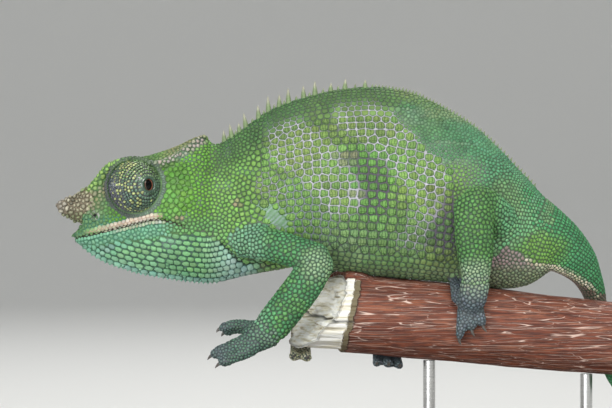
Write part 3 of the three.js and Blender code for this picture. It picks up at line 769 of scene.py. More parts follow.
# Among the scales' tones, low flank and before hip are painted shade. Tail root, behind elbow, shoulder and
# right hand brighten shaded places as painted light.
SCALE = {
    "ridge": [0.075, 0.155, 0.047], "netted": [0.2, 0.33, 0.085], "saddle": [0.1, 0.25, 0.05],
    "smooth back": [0.08, 0.22, 0.115], "streak": [0.19, 0.3, 0.2], "low flank": [0.145, 0.245, 0.1],
    "before hip": [0.07, 0.13, 0.05], "scab": [0.2, 0.17, 0.13], "rump": [0.11, 0.32, 0.17],
    "tail root": [0.15, 0.4, 0.2], "behind elbow": [0.22, 0.33, 0.16], "shoulder": [0.2, 0.38, 0.26],
    "warm": [0.22, 0.24, 0.07], "neck": [0.165, 0.34, 0.08], "nape": [0.066, 0.15, 0.052],
    "head": [0.125, 0.315, 0.042], "temple": [0.085, 0.215, 0.04], "behind eye": [0.155, 0.37, 0.085],
    "muzzle": [0.11, 0.22, 0.1], "behind mouth": [0.15, 0.33, 0.15], "mint": [0.26, 0.48, 0.4],
    "throat rear": [0.32, 0.46, 0.41], "lilac": [0.42, 0.42, 0.46], "jaw": [0.175, 0.39, 0.27],
    "lip front": [0.2, 0.34, 0.13], "casque edge": [0.24, 0.2, 0.12], "brow": [0.12, 0.22, 0.075],
    "snout": [0.28, 0.27, 0.16], "above snout": [0.29, 0.46, 0.13], "crest": [0.4, 0.36, 0.33],
    "ring": [0.15, 0.22, 0.17], "ring front": [0.085, 0.09, 0.1], "ring top": [0.09, 0.14, 0.07],
    "spot": [0.34, 0.22, 0.19], "tail": [0.065, 0.27, 0.105], "olive": [0.15, 0.3, 0.06],
    "vent": [0.31, 0.215, 0.225], "vent rear": [0.16, 0.11, 0.08], "cream": [0.62, 0.57, 0.42],
    "belly": [0.17, 0.24, 0.12], "limb": [0.08, 0.245, 0.1], "limb fleck": [0.125, 0.28, 0.075],
    "thigh": [0.11, 0.245, 0.062], "arm root": [0.2, 0.38, 0.25], "thigh root": [0.16, 0.4, 0.2],
    "joint": [0.32, 0.41, 0.27], "left hand": [0.085, 0.18, 0.11], "right hand": [0.55, 0.52, 0.34],
    "right foot": [0.09, 0.11, 0.12],
}
# The pale net's patches: a line of [x, z], how strong it is there, and where it starts and ends to fade.
PALE_PATCHES = [
    ([[-23, 96.5], [-16.5, 91], [-9.5, 82.5]], 1.0, 4.8, 8.2),
    ([[-5, 105], [1.5, 100], [9, 92.5], [14.5, 86]], 1.0, 4.6, 7.6),
    ([[14.5, 86], [14.5, 78], [10.5, 70]], 0.7, 2.5, 5.5),
    ([[17, 93], [24, 90], [28, 87]], 0.3, 2.5, 5.5),
    ([[-29, 84], [-26, 83]], 0.5, 2.0, 4.5),
]
BROW_LINE = [[-84, 84], [-74, 89], [-66, 90.4], [-58, 90.6], [-52, 93.6], [-44, 97.6]]
CREST_LINE = [[-62, 89.8], [-57, 90.8], [-53, 93], [-50, 95], [-47.4, 96.8]]
VENT_LINE = [
    [30, 62], [37.2, 67.3], [42.8, 63.9], [46.2, 61.8], [51.2, 61.4], [55.4, 59.6], [61, 56.2], [64, 53.4],
]
KNEES = [[27.5, -15.4, 60.5], [7, 15.8, 59]]
ELBOWS = [[-15.5, -20, 62.5], [-14, 21, 62.5]]


def blob(place, x, z, wide, high, soft=0.35, seed=5):
    """1 inside an ellipse of the side view and 0 outside, with a wandering edge."""
    wander = 0.35 * (noise(place, 5.0, seed) - 0.5) + 0.2 * (noise(place, 2.0, seed + 1) - 0.5)
    reach = np.hypot((place[:, 0] - x) / wide, (place[:, 2] - z) / high) + wander
    return 1 - ease(reach, 1 - soft, 1 + soft)


def beside(place, rows, width):
    """1 on a line of the side view, falling to 0 at width from it."""
    distance, _ = line_distance(place, rows)
    return 1 - ease(distance, 0.25 * width, width)


def nearest_of(place, spots):
    """How far each point is from the nearest of some spots."""
    return np.linalg.norm(place[:, None] - np.array(spots, float), axis=2).min(axis=1)


def pale_net(place):
    """Where the flank's scales are parted by pale lines: a slanting patch behind the shoulder, a band
    that crosses the back and comes down towards the hip, and fainter ends."""
    wander = 2.4 * (noise(place, 5.0, 7) - 0.5)
    patches = [
        strength * (1 - ease(line_distance(place, line)[0] + wander, inner, outer))
        for line, strength, inner, outer in PALE_PATCHES
    ]
    below_ridge = ease(through(BACK, place[:, 0]) - place[:, 2], 3, 8)
    return np.maximum.reduce(patches) * (0.7 + 0.35 * noise(place, 3.0, 14)) * below_ridge


def dusk(place):
    """1 where the gaps between the flank's scales are wide and dark."""
    return np.maximum(blob(place, -0.5, 83.5, 6, 8.5, seed=62), blob(place, 20, 74, 5, 9, seed=63))


def smooth_back(place):
    """1 on the upper back before the hips, where the scales are small and lie close."""
    return blob(place, 22, 100, 16, 9.5, soft=0.3, seed=64) * (1 - ease(pale_net(place), 0.35, 0.75))


def temple(place):
    """1 on the temple, between the eye and the casque's rear, where the scales are flat."""
    return blob(place, -54.5, 82.5, 4.5, 7.5, soft=0.3, seed=61)


def behind_shoulder(place):
    """1 behind the shoulder, where the gaps between the scales are a pale grey."""
    return blob(place, -19, 77, 8, 11, seed=65)


def region_mask(regions, *names):
    """1 on the points of the named regions."""
    return np.isin(regions, [REGIONS.index(name) for name in names]).astype(float)


@cache
def atlas():
    """An unwrap of the hide: each part's grid is a rectangle, its rings along U and its girth along V,
    stacked in rows. Returns the parts' points, their regions and their places in the unwrap."""
    places, regions, spots = [], [], []
    left, low, row_high = 0.0, 0.0, 0.0
    for region, grid in flesh_grids(0.0):
        length = np.linalg.norm(np.diff(grid.mean(axis=1), axis=0), axis=1).sum()
        round_it = np.linalg.norm(np.diff(grid, axis=1), axis=2).sum(axis=1).max()
        wide, high = UNWRAP["scale"] * length, UNWRAP["scale"] * round_it
        if left + wide > 1:
            left, low, row_high = 0.0, low + row_high + UNWRAP["gap"], 0.0
        u, v = np.meshgrid(*(np.linspace(0, 1, count) for count in grid.shape[:2]), indexing="ij")
        places.append(grid.reshape(-1, 3))
        regions.append(np.full(u.size, REGIONS.index(region)))
        spots.append(np.stack([left + wide * u.ravel(), low + high * v.ravel()], axis=1))
        left, row_high = left + wide + UNWRAP["gap"], max(row_high, high)
    return np.vstack(places), np.concatenate(regions), np.vstack(spots)


def roots(place):
    """The region of each point of the hide, and its spot in the unwrap, from the nearest part."""
    points, regions, spots = atlas()
    nearest, _ = neighbours(place, points, 1, 6.0)
    return regions[nearest[:, 0]], np.clip(spots[nearest[:, 0]], 0.003, 0.997)


def painted(colour, layers):
    """The colour after layers of (tone, share) are laid over it, each over the last."""
    for tone, share in layers:
        colour = blend(colour, tone, share)
    return colour


def net_colour(place, settings):
    """The colour of the hide between the scales, with painted shade in the throat's crease, the nostril and
    the mouth's slit.
    """
    regions, _ = roots(place)
    x, y, z = place.T
    body = region_mask(regions, "body")
    mouth, over = line_distance(place, MOUTH_LINE)
    crease, _ = line_distance(place, THROAT_FOLD)
    pit = nostril_distance(place)
    above_throat = ease(z - through(THROAT_TOP, x), 0, 1.5) * ease(-x, 56, 60) * (z < 76)
    veins = ease(noise(place, 4.0, 19), 0.6, 0.85) * ease(-x, 26, 32) * (1 - ease(-x, 58, 64))
    flank = blob(place, -4, 84, 30, 24, seed=15) * ease(x, -34, -28)
    wrinkled = ease(armpit(place), 0.1, 0.8)
    folds = (0.5 + 0.5 * np.cos(armpit_phase(place))) ** 2
    off_turret = np.linalg.norm(np.stack([x, np.abs(y), z], axis=1) - turret_centre(1), axis=1)
    ring = (1 - ease(np.abs(off_turret - TURRET["radius"] - 1.2), 0.5, 0.9)) * (x < -55) * (np.abs(y) > 5)
    lip = (over > 0) * (1 - ease(mouth, 1.2, 1.7)) * ease(mouth, 0.3, 0.5)
    lip = lip * ease(x, -81, -78) * (x < MOUTH_CORNER + 0.6)
    colour = painted(SKIN["body"], [
        (SKIN["head"], 0.8 * ease(-x, 47, 55) * body),
        (SKIN["throat"], throat_mask(place) * body),
        (SKIN["jaw"], above_throat * body),
        (SKIN["neck veins"], 0.75 * veins * body),
        (SKIN["flank"], 0.6 * flank * body),
        (SKIN["behind shoulder"], 0.65 * behind_shoulder(place) * body),
        (SKIN["temple"], 0.9 * temple(place) * body),
        (SKIN["dusk"], 0.9 * dusk(place) * body),
        (SKIN["smooth back"], 0.8 * smooth_back(place) * body),
        (settings.net_pale, pale_net(place) * body),
        (SKIN["armpit"], wrinkled * body),
        (SKIN["wrinkles"], wrinkled * folds * body),
        # Painted shadow: near black in the crease behind the throat.
        (SKIN["crease"], (1 - ease(crease, 0.3, 0.8)) * body),
        (SKIN["turret ring"], ring * body),
        (SKIN["nostril rim"], 1 - ease(np.abs(pit - 0.95), 0.25, 0.5)),
        # Painted shade: the nostril's pit near black.
        (SKIN["nostril"], 1 - ease(pit, 0.35, 0.6)),
        # Painted shade: dark in the mouth's slit.
        (SKIN["mouth"], (1 - ease(mouth, 0.3, 0.55)) * (x < -50) * body),
        (SKIN["lip"], lip * body),
        (SKIN["limbs"], region_mask(regions, "arm", "leg")),
        (SKIN["feet"], region_mask(regions, "foot", "toe")),
        (SKIN["tail"], region_mask(regions, "tail")),
        (SKIN["belly"], ease(63 - z, -1, 3) * body * ease(x, -36, -30)),
    ])
    return colour * (0.85 + 0.3 * noise(place, 1.7, 21))[:, None]


def trunk_colour(place, body, settings):
    """The trunk's scales: a dark ridge, brighter ones in the pale net with a saddle between its patches,
    soft cooler and warmer places, painted shade low on the flank and beside the hind leg, and painted light
    where the thigh, elbow and arm shade the body."""
    x, _, z = place.T
    streak = ease(noise(place * [0.12, 0.3, 1] + [0, 0, 0.25], 1.3, 26), 0.45, 0.75)
    return painted(settings.flank_green, [
        (SCALE["ridge"], 1 - ease(through(BACK, x) - z, 5, 14)),
        (SCALE["netted"], 0.6 * pale_net(place)),
        (SCALE["saddle"], 0.75 * blob(place, -1, 86, 6.5, 14, seed=23)),
        (blend(SCALE["smooth back"], SCALE["streak"], 0.7 * streak), 0.85 * smooth_back(place)),
        # Painted shade: the flank darker and browner towards the belly.
        (SCALE["low flank"], 0.8 * ease(76 - z, -4, 8) * ease(x, -24, -12)),
        # Painted shade: darker on the flank beside the hind leg.
        (SCALE["before hip"], 0.75 * blob(place, 22, 70, 8, 11, seed=25)),
        (SCALE["scab"], 0.7 * blob(place, -7.5, 92, 3.2, 1.8, seed=27)),
        (SCALE["scab"], 0.6 * blob(place, -5, 82, 2.2, 1.4, seed=29)),
        (SCALE["rump"], 0.9 * ease(x, 22, 34)),
        # Painted light: the next three brighten the body where the thigh, the elbow and the arm shade it.
        (SCALE["tail root"], 0.8 * blob(place, 39, 73, 8, 8, seed=66) * body),
        (SCALE["behind elbow"], 0.6 * blob(place, -8, 66, 7, 6, seed=67) * body),
        (SCALE["shoulder"], 0.7 * blob(place, -35, 66, 5, 6, seed=68) * body),
        (SCALE["warm"], 0.35 * ease(noise(place, 9.0, 44), 0.5, 0.75) * ease(x, -34, -26) * body),
    ])


def head_colour(colour, place, body, settings):
    """The scales of the neck, head and throat, laid over the trunk's colour."""
    x, y, z = place.T
    head = ease(-x, 42, 47)
    nape = (1 - ease(through(BACK, x) - z, 3, 13)) * ease(x, -46, -42) * (1 - ease(x, -20, -10))
    throat = throat_mask(place)
    low_edge = np.maximum(1 - ease(throat_depth(place), 0.6, 3.2), 0.8 * ease(-x, 70, 78))
    behind_mouth = ease(x, -58, -53) * (1 - ease(x, -44, -38)) * (1 - ease(z, 73, 77)) * (1 - throat)
    mouth, over = line_distance(place, MOUTH_LINE)
    lip = (over > 0) * (1 - ease(mouth, 1.35, 1.65)) * ease(x, -81.5, -77.5) * (1 - ease(x, -61.5, -57.5))
    lower_lip = (over < 0) * (1 - ease(mouth, 0.8, 1.5)) * ease(x, -74, -68) * (x < MOUTH_CORNER + 1.2)
    brow = ease(z - through(BROW_LINE, x), -0.8, 0.6)
    snout = np.maximum(
        blob(place, -81, 79.5, 5.5, 4.5, seed=31) * ease(z, 75.5, 78.5),
        beside(place, [[-81, 79], [-78, 81], [-75.5, 82.5], [-74, 83]], 3.4),
    )
    above_snout = beside(place, [[-79.4, 83.6], *CANTHUS_LINE[1:], [-69, 91]], 2.2)
    ring_tone = painted(SCALE["ring"], [
        (SCALE["ring front"], ease(TURRET["x"] + 1 - x, -2, 3)),
        (SCALE["ring top"], ease(z - TURRET["z"], 3, 7)),
    ])
    ring = (1 - ease(np.hypot(x - TURRET["x"], z - TURRET["z"]), 8.3, 8.9)) * (np.abs(y) > 5)
    spots = np.maximum(
        blob(place, -53.5, 75.2, 1.7, 0.9, seed=34), blob(place, -37.7, 79.3, 1.3, 1.0, seed=35)
    )
    return painted(colour, [
        (SCALE["neck"], 0.8 * ease(-x, 31, 37) * (1 - head * body) * body),
        (SCALE["nape"], 0.85 * nape * body),
        (SCALE["head"], 0.9 * head * body),
        (SCALE["temple"], 0.85 * temple(place) * head * ease(z, 80, 86) * body),
        (SCALE["behind eye"], 0.75 * blob(place, -56, 80, 2.6, 5.5, seed=69) * head * body),
        (SCALE["muzzle"], head * ease(-x, 70, 76) * body),
        (settings.throat_green, throat * (1 - 0.3 * ease(x, -60, -46)) * body),
        (SCALE["behind mouth"], 0.6 * behind_mouth * body),
        (SCALE["mint"], 0.75 * throat * low_edge * body),
        (SCALE["throat rear"], 0.8 * throat * ease(x, -49, -39) * body),
        (SCALE["lilac"], 0.8 * blob(place, -73.6, 67.4, 2.0, 1.2, seed=36) * throat * body),
        (SCALE["jaw"], 0.85 * (over < 0) * (1 - ease(mouth, 4, 7)) * ease(-x, 52, 58) * body),
        (blend(SCALE["lip front"], settings.lip_pink, ease(x, -79, -71)), lip * body),
        (np.array(settings.lip_pink) * 0.85, 0.6 * lower_lip * body),
        (SCALE["casque edge"], 0.75 * brow * ease(-x, 45.5, 47) * ease(x, -62, -56) * body),
        (SCALE["brow"], 0.85 * brow * (1 - ease(x, -62, -56)) * body),
        (SCALE["snout"], 0.85 * snout * (x < -66) * body),
        (SCALE["above snout"], 0.9 * above_snout * (x < -70) * body),
        (SCALE["crest"], 0.85 * beside(place, CREST_LINE, 1.6) * (np.abs(y) > 1.2) * body),
        (ring_tone, 0.9 * ring * body),
        (SCALE["spot"], 0.7 * spots * body),
    ])


def rear_colour(colour, place, body, tail):
    """The scales of the tail, vent and belly, laid over the rest of the body's colour."""
    x, _, z = place.T
    _, above_vent = line_distance(place, VENT_LINE)
    vent = (above_vent < 0) * ease(x, 27, 31) * np.maximum(body, tail) * ease(z, 46, 55) * (x < 70)
    cream = beside(place, VENT_LINE[2:], 1.2) * np.maximum(body, tail)
    return painted(colour, [
        (SCALE["tail"], 0.85 * tail),
        (SCALE["olive"], 0.9 * blob(place, 46.5, 66, 7, 5, seed=33)),
        (SCALE["vent"], 0.9 * vent),
        (SCALE["vent rear"], 0.8 * vent * ease(x, 50, 53)),
        (SCALE["cream"], cream * ease(noise(place, 1.6, 45), 0.25, 0.45)),
        (SCALE["belly"], 0.8 * ease(62 - z, -1, 2) * body * ease(x, -36, -30)),
    ])


def limb_colour(colour, place, limb, paw, settings):
    """The scales of the limbs and feet, paler at the knees, elbows and wrists, and on the far hand tan and
    brightened as painted light.
    """
    x, y, _ = place.T
    limb_tone = painted(SCALE["limb"], [
        (SCALE["limb fleck"], 0.55 * ease(noise(place, 2.0, 46), 0.45, 0.7)),
        (SCALE["thigh"], 0.65 * ease(x, 10, 20)),
        (SCALE["arm root"], 0.75 * ease(-x, 27, 33)),
        (SCALE["thigh root"], 0.8 * ease(x, 32, 37)),
    ])
    beyond = nearest_of(place, [part["lower"][-1][:3] for part in LIMBS.values()])
    left_hand = ease(-x, 22, 28) * (y < -6) * (1 - 0.7 * ease(-x, 38, 42))
    return painted(colour, [
        (limb_tone, limb),
        (SCALE["joint"], 0.88 * (1 - ease(nearest_of(place, KNEES), 2.5, 6.5)) * limb),
        (SCALE["joint"], 0.62 * (1 - ease(nearest_of(place, ELBOWS), 2, 7)) * limb),
        (blend(SCALE["joint"], settings.foot_grey, ease(beyond, 2, 8)), paw),
        (SCALE["left hand"], 0.75 * left_hand * paw),
        # Painted light: the far hand tan and much brightened where the perch shades it.
        (SCALE["right hand"], 0.9 * (x < -8) * (y > -6) * paw * ease(beyond, 1, 6)),
        (SCALE["right foot"], 0.8 * (x > -8) * (y > 0) * paw),
    ])


def scale_colour(place, regions, settings):
    """The colour of the scale rooted at each place."""
    body, tail = region_mask(regions, "body"), region_mask(regions, "tail")
    colour = trunk_colour(place, body, settings)
    colour = head_colour(colour, place, body, settings)
    colour = rear_colour(colour, place, body, tail)
    limb, paw = region_mask(regions, "arm", "leg"), region_mask(regions, "foot", "toe")
    colour = limb_colour(colour, place, limb, paw, settings)
    patches = 0.75 + 0.3 * noise(place, 7.0, 41) + 0.2 * noise(place, 2.4, 43)
    return colour * patches[:, None]


# ---- the coat of scales ----

# The rings of one scale, from its crown to its rim: share of its reach, and share of its height.
CROWNS = {
    "bead": [(0.62, 0.8)],
    "tile": [(0.62, 0.97), (0.88, 0.7)],
    "cone": [(0.45, 0.5)],
}
SORTS = list(CROWNS)
ROOT_DEPTH = 0.16
RIM_LIFT = -0.02
PATCH_REACH = 0.0015
# Where two scales are too close the one of higher rank stays. Strewn ones have a random rank below 1.
RANKS = {
    "eye bead": 1, "tail": 4, "belly": 4.5, "throat": 5, "rump": 5.2, "flank": 6, "lobed": 6.5, "ring": 7,
    "beard": 8, "snout": 8, "canthus": 9, "crest": 9, "lip": 10,
}
# The rows along the mouth: how far apart the scales are, their height, and how far above the slit.
LIP_ROWS = [(1.105, 0.09, 0.55), (1.175, 0.09, 1.25), (0.95, 0.08, -0.68)]


def seeds(place, spacing, height, sort, rank):
    """Places for scales, with the spacing that each wants, its height, its sort, and its rank."""
    count = len(place)
    return {
        "place": np.asarray(place, float),
        "spacing": np.broadcast_to(spacing, count).astype(float),
        "height": np.broadcast_to(height, count).astype(float),
        "sort": np.full(count, SORTS.index(sort)),
        "rank": np.broadcast_to(rank, count).astype(float),
    }


def together(sets):
    """Several sets of seeds as one."""
    return {key: np.concatenate([one[key] for one in sets]) for key in sets[0]}


def picked(one, chosen):
    """Only the chosen seeds of a set."""
    return {key: value[chosen] for key, value in one.items()}


def staggered(count, row, shift, wobble, random):
    """The numbers from 0 to count, moved on by a shift in every other row and a little at random."""
    return np.arange(count) + shift * (row % 2) + random.normal(0, wobble, count)


def spaced(one, share=0.62):
    """Only the seeds that are at least a share of their spacing apart. In turns, each seed that outranks
    all its near rivals stays and its rivals go."""
    near, away = neighbours(one["place"], one["place"], 30, one["spacing"].max() * share)
    limit = 0.5 * share * (one["spacing"][:, None] + one["spacing"][near])
    rival = (away < limit) & (near != np.arange(len(near))[:, None])
    outranked = rival & (one["rank"][near] > one["rank"][:, None])
    stays, goes = np.zeros(len(near), bool), np.zeros(len(near), bool)
    while not (stays | goes).all():
        goes |= ~stays & (rival & stays[near]).any(axis=1)
        stays |= ~goes & ~(outranked & ~goes[near]).any(axis=1)
    return picked(one, stays)


def growing(low, high, first, last):
    """Shares of the girth from low to high, whose steps grow from first to last down the upper back."""
    edges = [low]
    while edges[-1] < high:
        edges.append(edges[-1] + first + (last - first) * float(ease(edges[-1], 0.04, 0.24)))
    return np.array(edges)


# The rows along the body: the shares of the girth between them, the stretch of X that they cover, the
# height, sort and rank of their scales, and how long a scale is for its row's height.
BODY_ROWS = [
    (growing(0.012, 0.8, 0.018, 0.0355), (-30, 24), 0.17, "tile", RANKS["flank"], 1.2),
    (np.linspace(0.012, 0.125, 7), (24, 48), 0.2, "bead", RANKS["rump"], 0.8),
    (np.linspace(0.8, 0.995, 8), (-28, 24), 0.2, "tile", RANKS["belly"], 1.0),
]


def row_seeds(edges, stretch, height, sort, rank, square, side, random):
    """Scales in rows along the body, each row a part of a scale on from the last. The high rows of the
    flank have a rank of their own, because their scales are lobed."""
    made = []
    fine = np.linspace(*stretch, 400)
    for row, (share, step) in enumerate(zip((edges[:-1] + edges[1:]) / 2, np.diff(edges))):
        run = np.concatenate([[0], np.cumsum(np.diff(fine) / (girth(fine) * step * square)[:-1])])
        x = np.interp(staggered(int(run[-1]), row, 0.22, 0.07, random), run, fine)
        wander = 0.3 * (noise(np.column_stack([x, np.full(len(x), row * 2.2), x * 0]), 9.0, 51) - 0.5)
        place = on_chart(x, share + step * (random.normal(0, 0.06, len(x)) + wander), side)
        size = girth(x) * step * np.sqrt(square)
        row_rank = RANKS["lobed"] if step > 0.03 else rank
        made.append(seeds(place, size, height * (0.5 + 0.5 * size / 2.2), sort, row_rank))
    return together(made)


def throat_seeds(side, random):
    """Long low plates laid like bricks: each row is the throat's lower edge moved inwards, its plates
    longest under the eye."""
    line = throat_edge(0.2)
    way = unit(np.gradient(line, axis=0))
    pitch = 1.5 + 1.1 * ease(line[:, 0], -80, -68) - 0.8 * ease(line[:, 0], -54, -44)
    run = np.cumsum(np.linalg.norm(np.gradient(line, axis=0), axis=1) / pitch)
    made = []
    for row in range(10):
        inwards = line + way[:, ::-1] * [-1, 1] * (row + 0.5) * GULAR_PITCH
        count = staggered(int(run[-1]), row, 0.5, 0.1, random)
        x, z = np.interp(count, run, inwards[:, 0]), np.interp(count, run, inwards[:, 1])
        good = (z < through(THROAT_TOP, x) + 0.2) & (x < -29)
        size = 0.72 + 0.5 * np.interp(count, run, pitch)[good]
        made.append(seeds(on_side(x[good], z[good], side), size, 0.3, "tile", RANKS["throat"]))
    return together(made)


def line_seeds(rows, pitch, side, height, sort, rank, lift=0.0):
    """Scales in one row along a line of [x, z] on the side of the head, lift above it."""
    line = evenly(rows, pitch)
    return seeds(on_side(line[:, 0], line[:, 1] + lift, side), pitch * 1.05, height, sort, rank)


def snout_seeds(side, random):
    """Blunt bumps of many sizes strewn from the horn's root up the canthus."""
    line = np.repeat(evenly([[-81, 80.4], *CANTHUS_LINE], 1.2), 4, axis=0)
    x, z = (line + random.normal(0, 1.3, line.shape)).T
    size = random.uniform(1.0, 1.7, len(x))
    place = on_side(x, np.minimum(z, through(BACK, x) - 0.2), side)
    return seeds(place, size, 0.46 * size, "bead", RANKS["snout"] + 0.5 * size)


def ring_seeds(side, random):
    """A ring of beads on the fold of skin round the turret."""
    reach, pitch = TURRET["radius"] + 0.8, 0.7
    count = round(2 * np.pi * reach / pitch)
    turn = 2 * np.pi * staggered(count, 0, 0, 0.1, random) / count
    x, z = TURRET["x"] + reach * np.cos(turn), TURRET["z"] + reach * np.sin(turn)
    place = np.stack([x, np.full(count, side * (TURRET["y"] + 1.9)), z], axis=1)
    return seeds(place, pitch, 0.13, "bead", RANKS["ring"])


def crest_seeds(side, random):
    """The tubercles of the lateral crest, from over the eye to the casque's tip."""
    line = np.repeat(evenly(mirrored(CREST, side), 1.15), 2, axis=0)
    place = line[:, :3] + line[:, 3:4] * unit(np.array([0, side * 0.9, 0.35]))
    place = place + random.normal(0, 0.42, place.shape)
    tall = np.where(line[:, 0] > -62, 0.5, 0.28) * random.uniform(0.5, 1.1, len(line))
    size = random.uniform(0.9, 1.4, len(line))
    return seeds(place, size, tall, "bead", RANKS["crest"] + random.random(len(line)))


def tail_seeds(random):
    """Small scales in rings round the tail."""
    rows = tail_rows()
    grid = tube_grid(rows, 260, 72, 0.0, round_from=False, round_to=False)
    centres = grid.mean(axis=1)
    made = []
    for row, stop in enumerate(evenly(rows, 0.9)):
        ring = grid[np.argmin(np.linalg.norm(centres - stop[:3], axis=1))]
        around = np.linalg.norm(ring - np.roll(ring, 1, axis=0), axis=1).sum()
        count = max(6, round(around / 0.98))
        at = np.mod(staggered(count, row, 0.5, 0.07, random) / count * len(ring), len(ring))
        low = at.astype(int)
        place = ring[low] + (ring[(low + 1) % len(ring)] - ring[low]) * (at - low)[:, None]
        made.append(seeds(place, 0.95, 0.2, "bead", RANKS["tail"]))
    return together(made)


def placed_seeds(random):
    """Every scale with a place of its own: the tail's rings, the rows of the body, throat and lips, the
    bumps of the snout, turret ring and crest, and the beard of small cones under the jaw."""
    sets = [tail_seeds(random)]
    for side in SIDES.values():
        sets += [row_seeds(*row, side, random) for row in BODY_ROWS]
        sets.append(throat_seeds(side, random))
        for pitch, height, lift in LIP_ROWS:
            sets.append(line_seeds(MOUTH_LINE[:-2], pitch, side, height, "tile", RANKS["lip"], lift))
        sets.append(line_seeds(CANTHUS_LINE, 1.6, side, 0.95, "bead", RANKS["canthus"]))
        sets += [snout_seeds(side, random), ring_seeds(side, random), crest_seeds(side, random)]
    x = np.arange(-81, -43, 1.25)
    sets.append(seeds(np.stack([x, x * 0, through(BELLY, x)], axis=1), 1.2, 0.65, "cone", RANKS["beard"]))
    return together(sets)


def strewn_spacing(place, regions):
    """How far apart the small scales lie outside the rows."""
    x, _, z = place.T
    body, limb = region_mask(regions, "body") > 0, region_mask(regions, "arm", "leg") > 0
    spacing = 1.02 + 0.4 * ease(x, -42, -31)
    spacing = np.where(body & (x < -45), 0.98, spacing)
    spacing = np.where(body & (x < -74), 1.1, spacing)
    spacing = spacing + 0.5 * temple(place) * body
    spacing = np.where(body & (x > 20), 1.0, spacing)
    upper = (1 - ease(through(BACK, x) - z, 3, 14)) * body
    spacing = spacing - 0.25 * upper * ease(x, -44, -36) * (1 - ease(x, 0, 20))
    spacing = np.where(smooth_back(place) * body > 0.5, 0.95, spacing)
    bend = nearest_of(place, [[-15, -17, 64], [-15, 18, 65], [27.4, -15.4, 60], [7, 16, 59]])
    spacing = np.where(limb, 1.1 - 0.25 * (1 - ease(bend, 3, 7)), spacing)
    spacing = np.where(regions == REGIONS.index("foot"), 0.95, spacing)
    return np.where(regions == REGIONS.index("toe"), 0.8, spacing)


def strewn_seeds(points, faces, random):
    """Small scales strewn over the hide: random places on its triangles, more than will stay, and none
    under the turrets or in the armpits."""
    triangles = np.vstack([kind[:, [0, c, c + 1]] for kind in faces for c in range(1, kind.shape[1] - 1)])
    corners = points[triangles]
    along_one, along_other = corners[:, 1] - corners[:, 0], corners[:, 2] - corners[:, 0]
    area = 0.5 * np.linalg.norm(np.cross(along_one, along_other), axis=1)
    middle = corners.mean(axis=1)
    regions, _ = roots(middle)
    spacing = strewn_spacing(middle, regions)
    off_turret = np.linalg.norm(middle * [1, 0, 1] - [TURRET["x"], 0, TURRET["z"]], axis=1)
    bare = (off_turret < TURRET["radius"] + 0.7) & (np.abs(middle[:, 1]) > 5)
    bare |= (armpit(middle) + 0.5 * noise(middle, 1.2, 22) > 0.8) & (regions == REGIONS.index("body"))
    chosen = np.repeat(np.arange(len(triangles)), random.poisson(np.where(bare, 0, 8.0 * area / spacing**2)))
    a, b = random.random((2, len(chosen)))
    a, b = np.where(a + b > 1, 1 - a, a), np.where(a + b > 1, 1 - b, b)
    place = corners[chosen, 0] + along_one[chosen] * a[:, None] + along_other[chosen] * b[:, None]
    width = spacing[chosen]
    height = (0.22 - 0.14 * ease(width, 1.3, 1.6)) * width
    return seeds(place, width, height, "bead", random.random(len(chosen)))


def settled(one, points, normal, reach=1.5):
    """Seeds moved on to the hide along its normal, with that normal. Those far from it are dropped."""
    near, away = neighbours(one["place"], points, 4, reach)
    kept = np.isfinite(away[:, 0])
    one, near, away = picked(one, kept), near[kept], away[kept]
    weight = np.where(np.isfinite(away), 1 / (away + 0.05) ** 2, 0)[..., None]
    way = unit((normal[near] * weight).sum(axis=1))
    foot = (points[near] * weight).sum(axis=1) / weight.sum(axis=1)
    one["place"] = one["place"] - way * dot(one["place"] - foot, way)[:, None]
    one["normal"] = way
    return one


def spread(one, points, normal, turns):
    """The strewn seeds pushed apart from their neighbours in turns, so that they lie evenly."""
    loose = (one["rank"] < 1).astype(float)
    for _ in range(turns):
        near, away = neighbours(one["place"], one["place"], 9, 3.0)
        want = 0.5 * (one["spacing"][:, None] + one["spacing"][near])
        push = np.clip(1 - away / (1.15 * want), 0, 1) * (away > 0)
        push = np.where(np.isfinite(away), push, 0)
        ways = unit(one["place"][:, None] - one["place"][near])
        move = 0.4 * (ways * (push * want)[..., None]).sum(axis=1)
        move -= one["normal"] * dot(move, one["normal"])[:, None]
        one["place"] = one["place"] + move * loose[:, None]
    return settled(one, points, normal, reach=2.0)


def outlines(one, corners, gap):
    """How far each scale reaches in each of some even directions round its root: up to the line halfway
    to each neighbour, weighted by their sizes, less half the gap between scales."""
    place, way, spacing = one["place"], one["normal"], one["spacing"]
    forward = unit(np.array([1.0, 0, 0]) - way * way[:, :1])
    sideways = np.cross(way, forward)
    near, away = neighbours(place, place, 16, 2.3 * spacing.max())
    to_near = place[near] - place[:, None]
    rise = dot(to_near, way[:, None])
    flat = to_near - way[:, None] * rise[..., None]
    length = np.linalg.norm(flat, axis=2)
    counts = (away > 1e-6) & np.isfinite(away) & (np.abs(rise) < 1.3 * length)
    counts &= dot(way[near], way[:, None]) > 0.1
    share = spacing[:, None] / (spacing[:, None] + spacing[near])
    turn = 2 * np.pi * np.arange(corners) / corners
    compass = forward[:, None] * np.cos(turn)[:, None] + sideways[:, None] * np.sin(turn)[:, None]
    facing = np.einsum("nkd,ncd->nkc", flat, compass)
    limit = (length**2 * share)[..., None] / np.maximum(facing, 1e-6)
    limit = np.where(counts[..., None] & (facing > 0.02 * length[..., None]), limit, np.inf)
    reach = np.minimum(limit.min(axis=1), 0.85 * spacing[:, None])
    reach = np.maximum(reach - gap[:, None] / 2, 0.22 * spacing[:, None])
    softened = 0.5 * reach + 0.25 * (np.roll(reach, 1, axis=1) + np.roll(reach, -1, axis=1))
    return np.minimum(reach, 1.16 * softened), compass


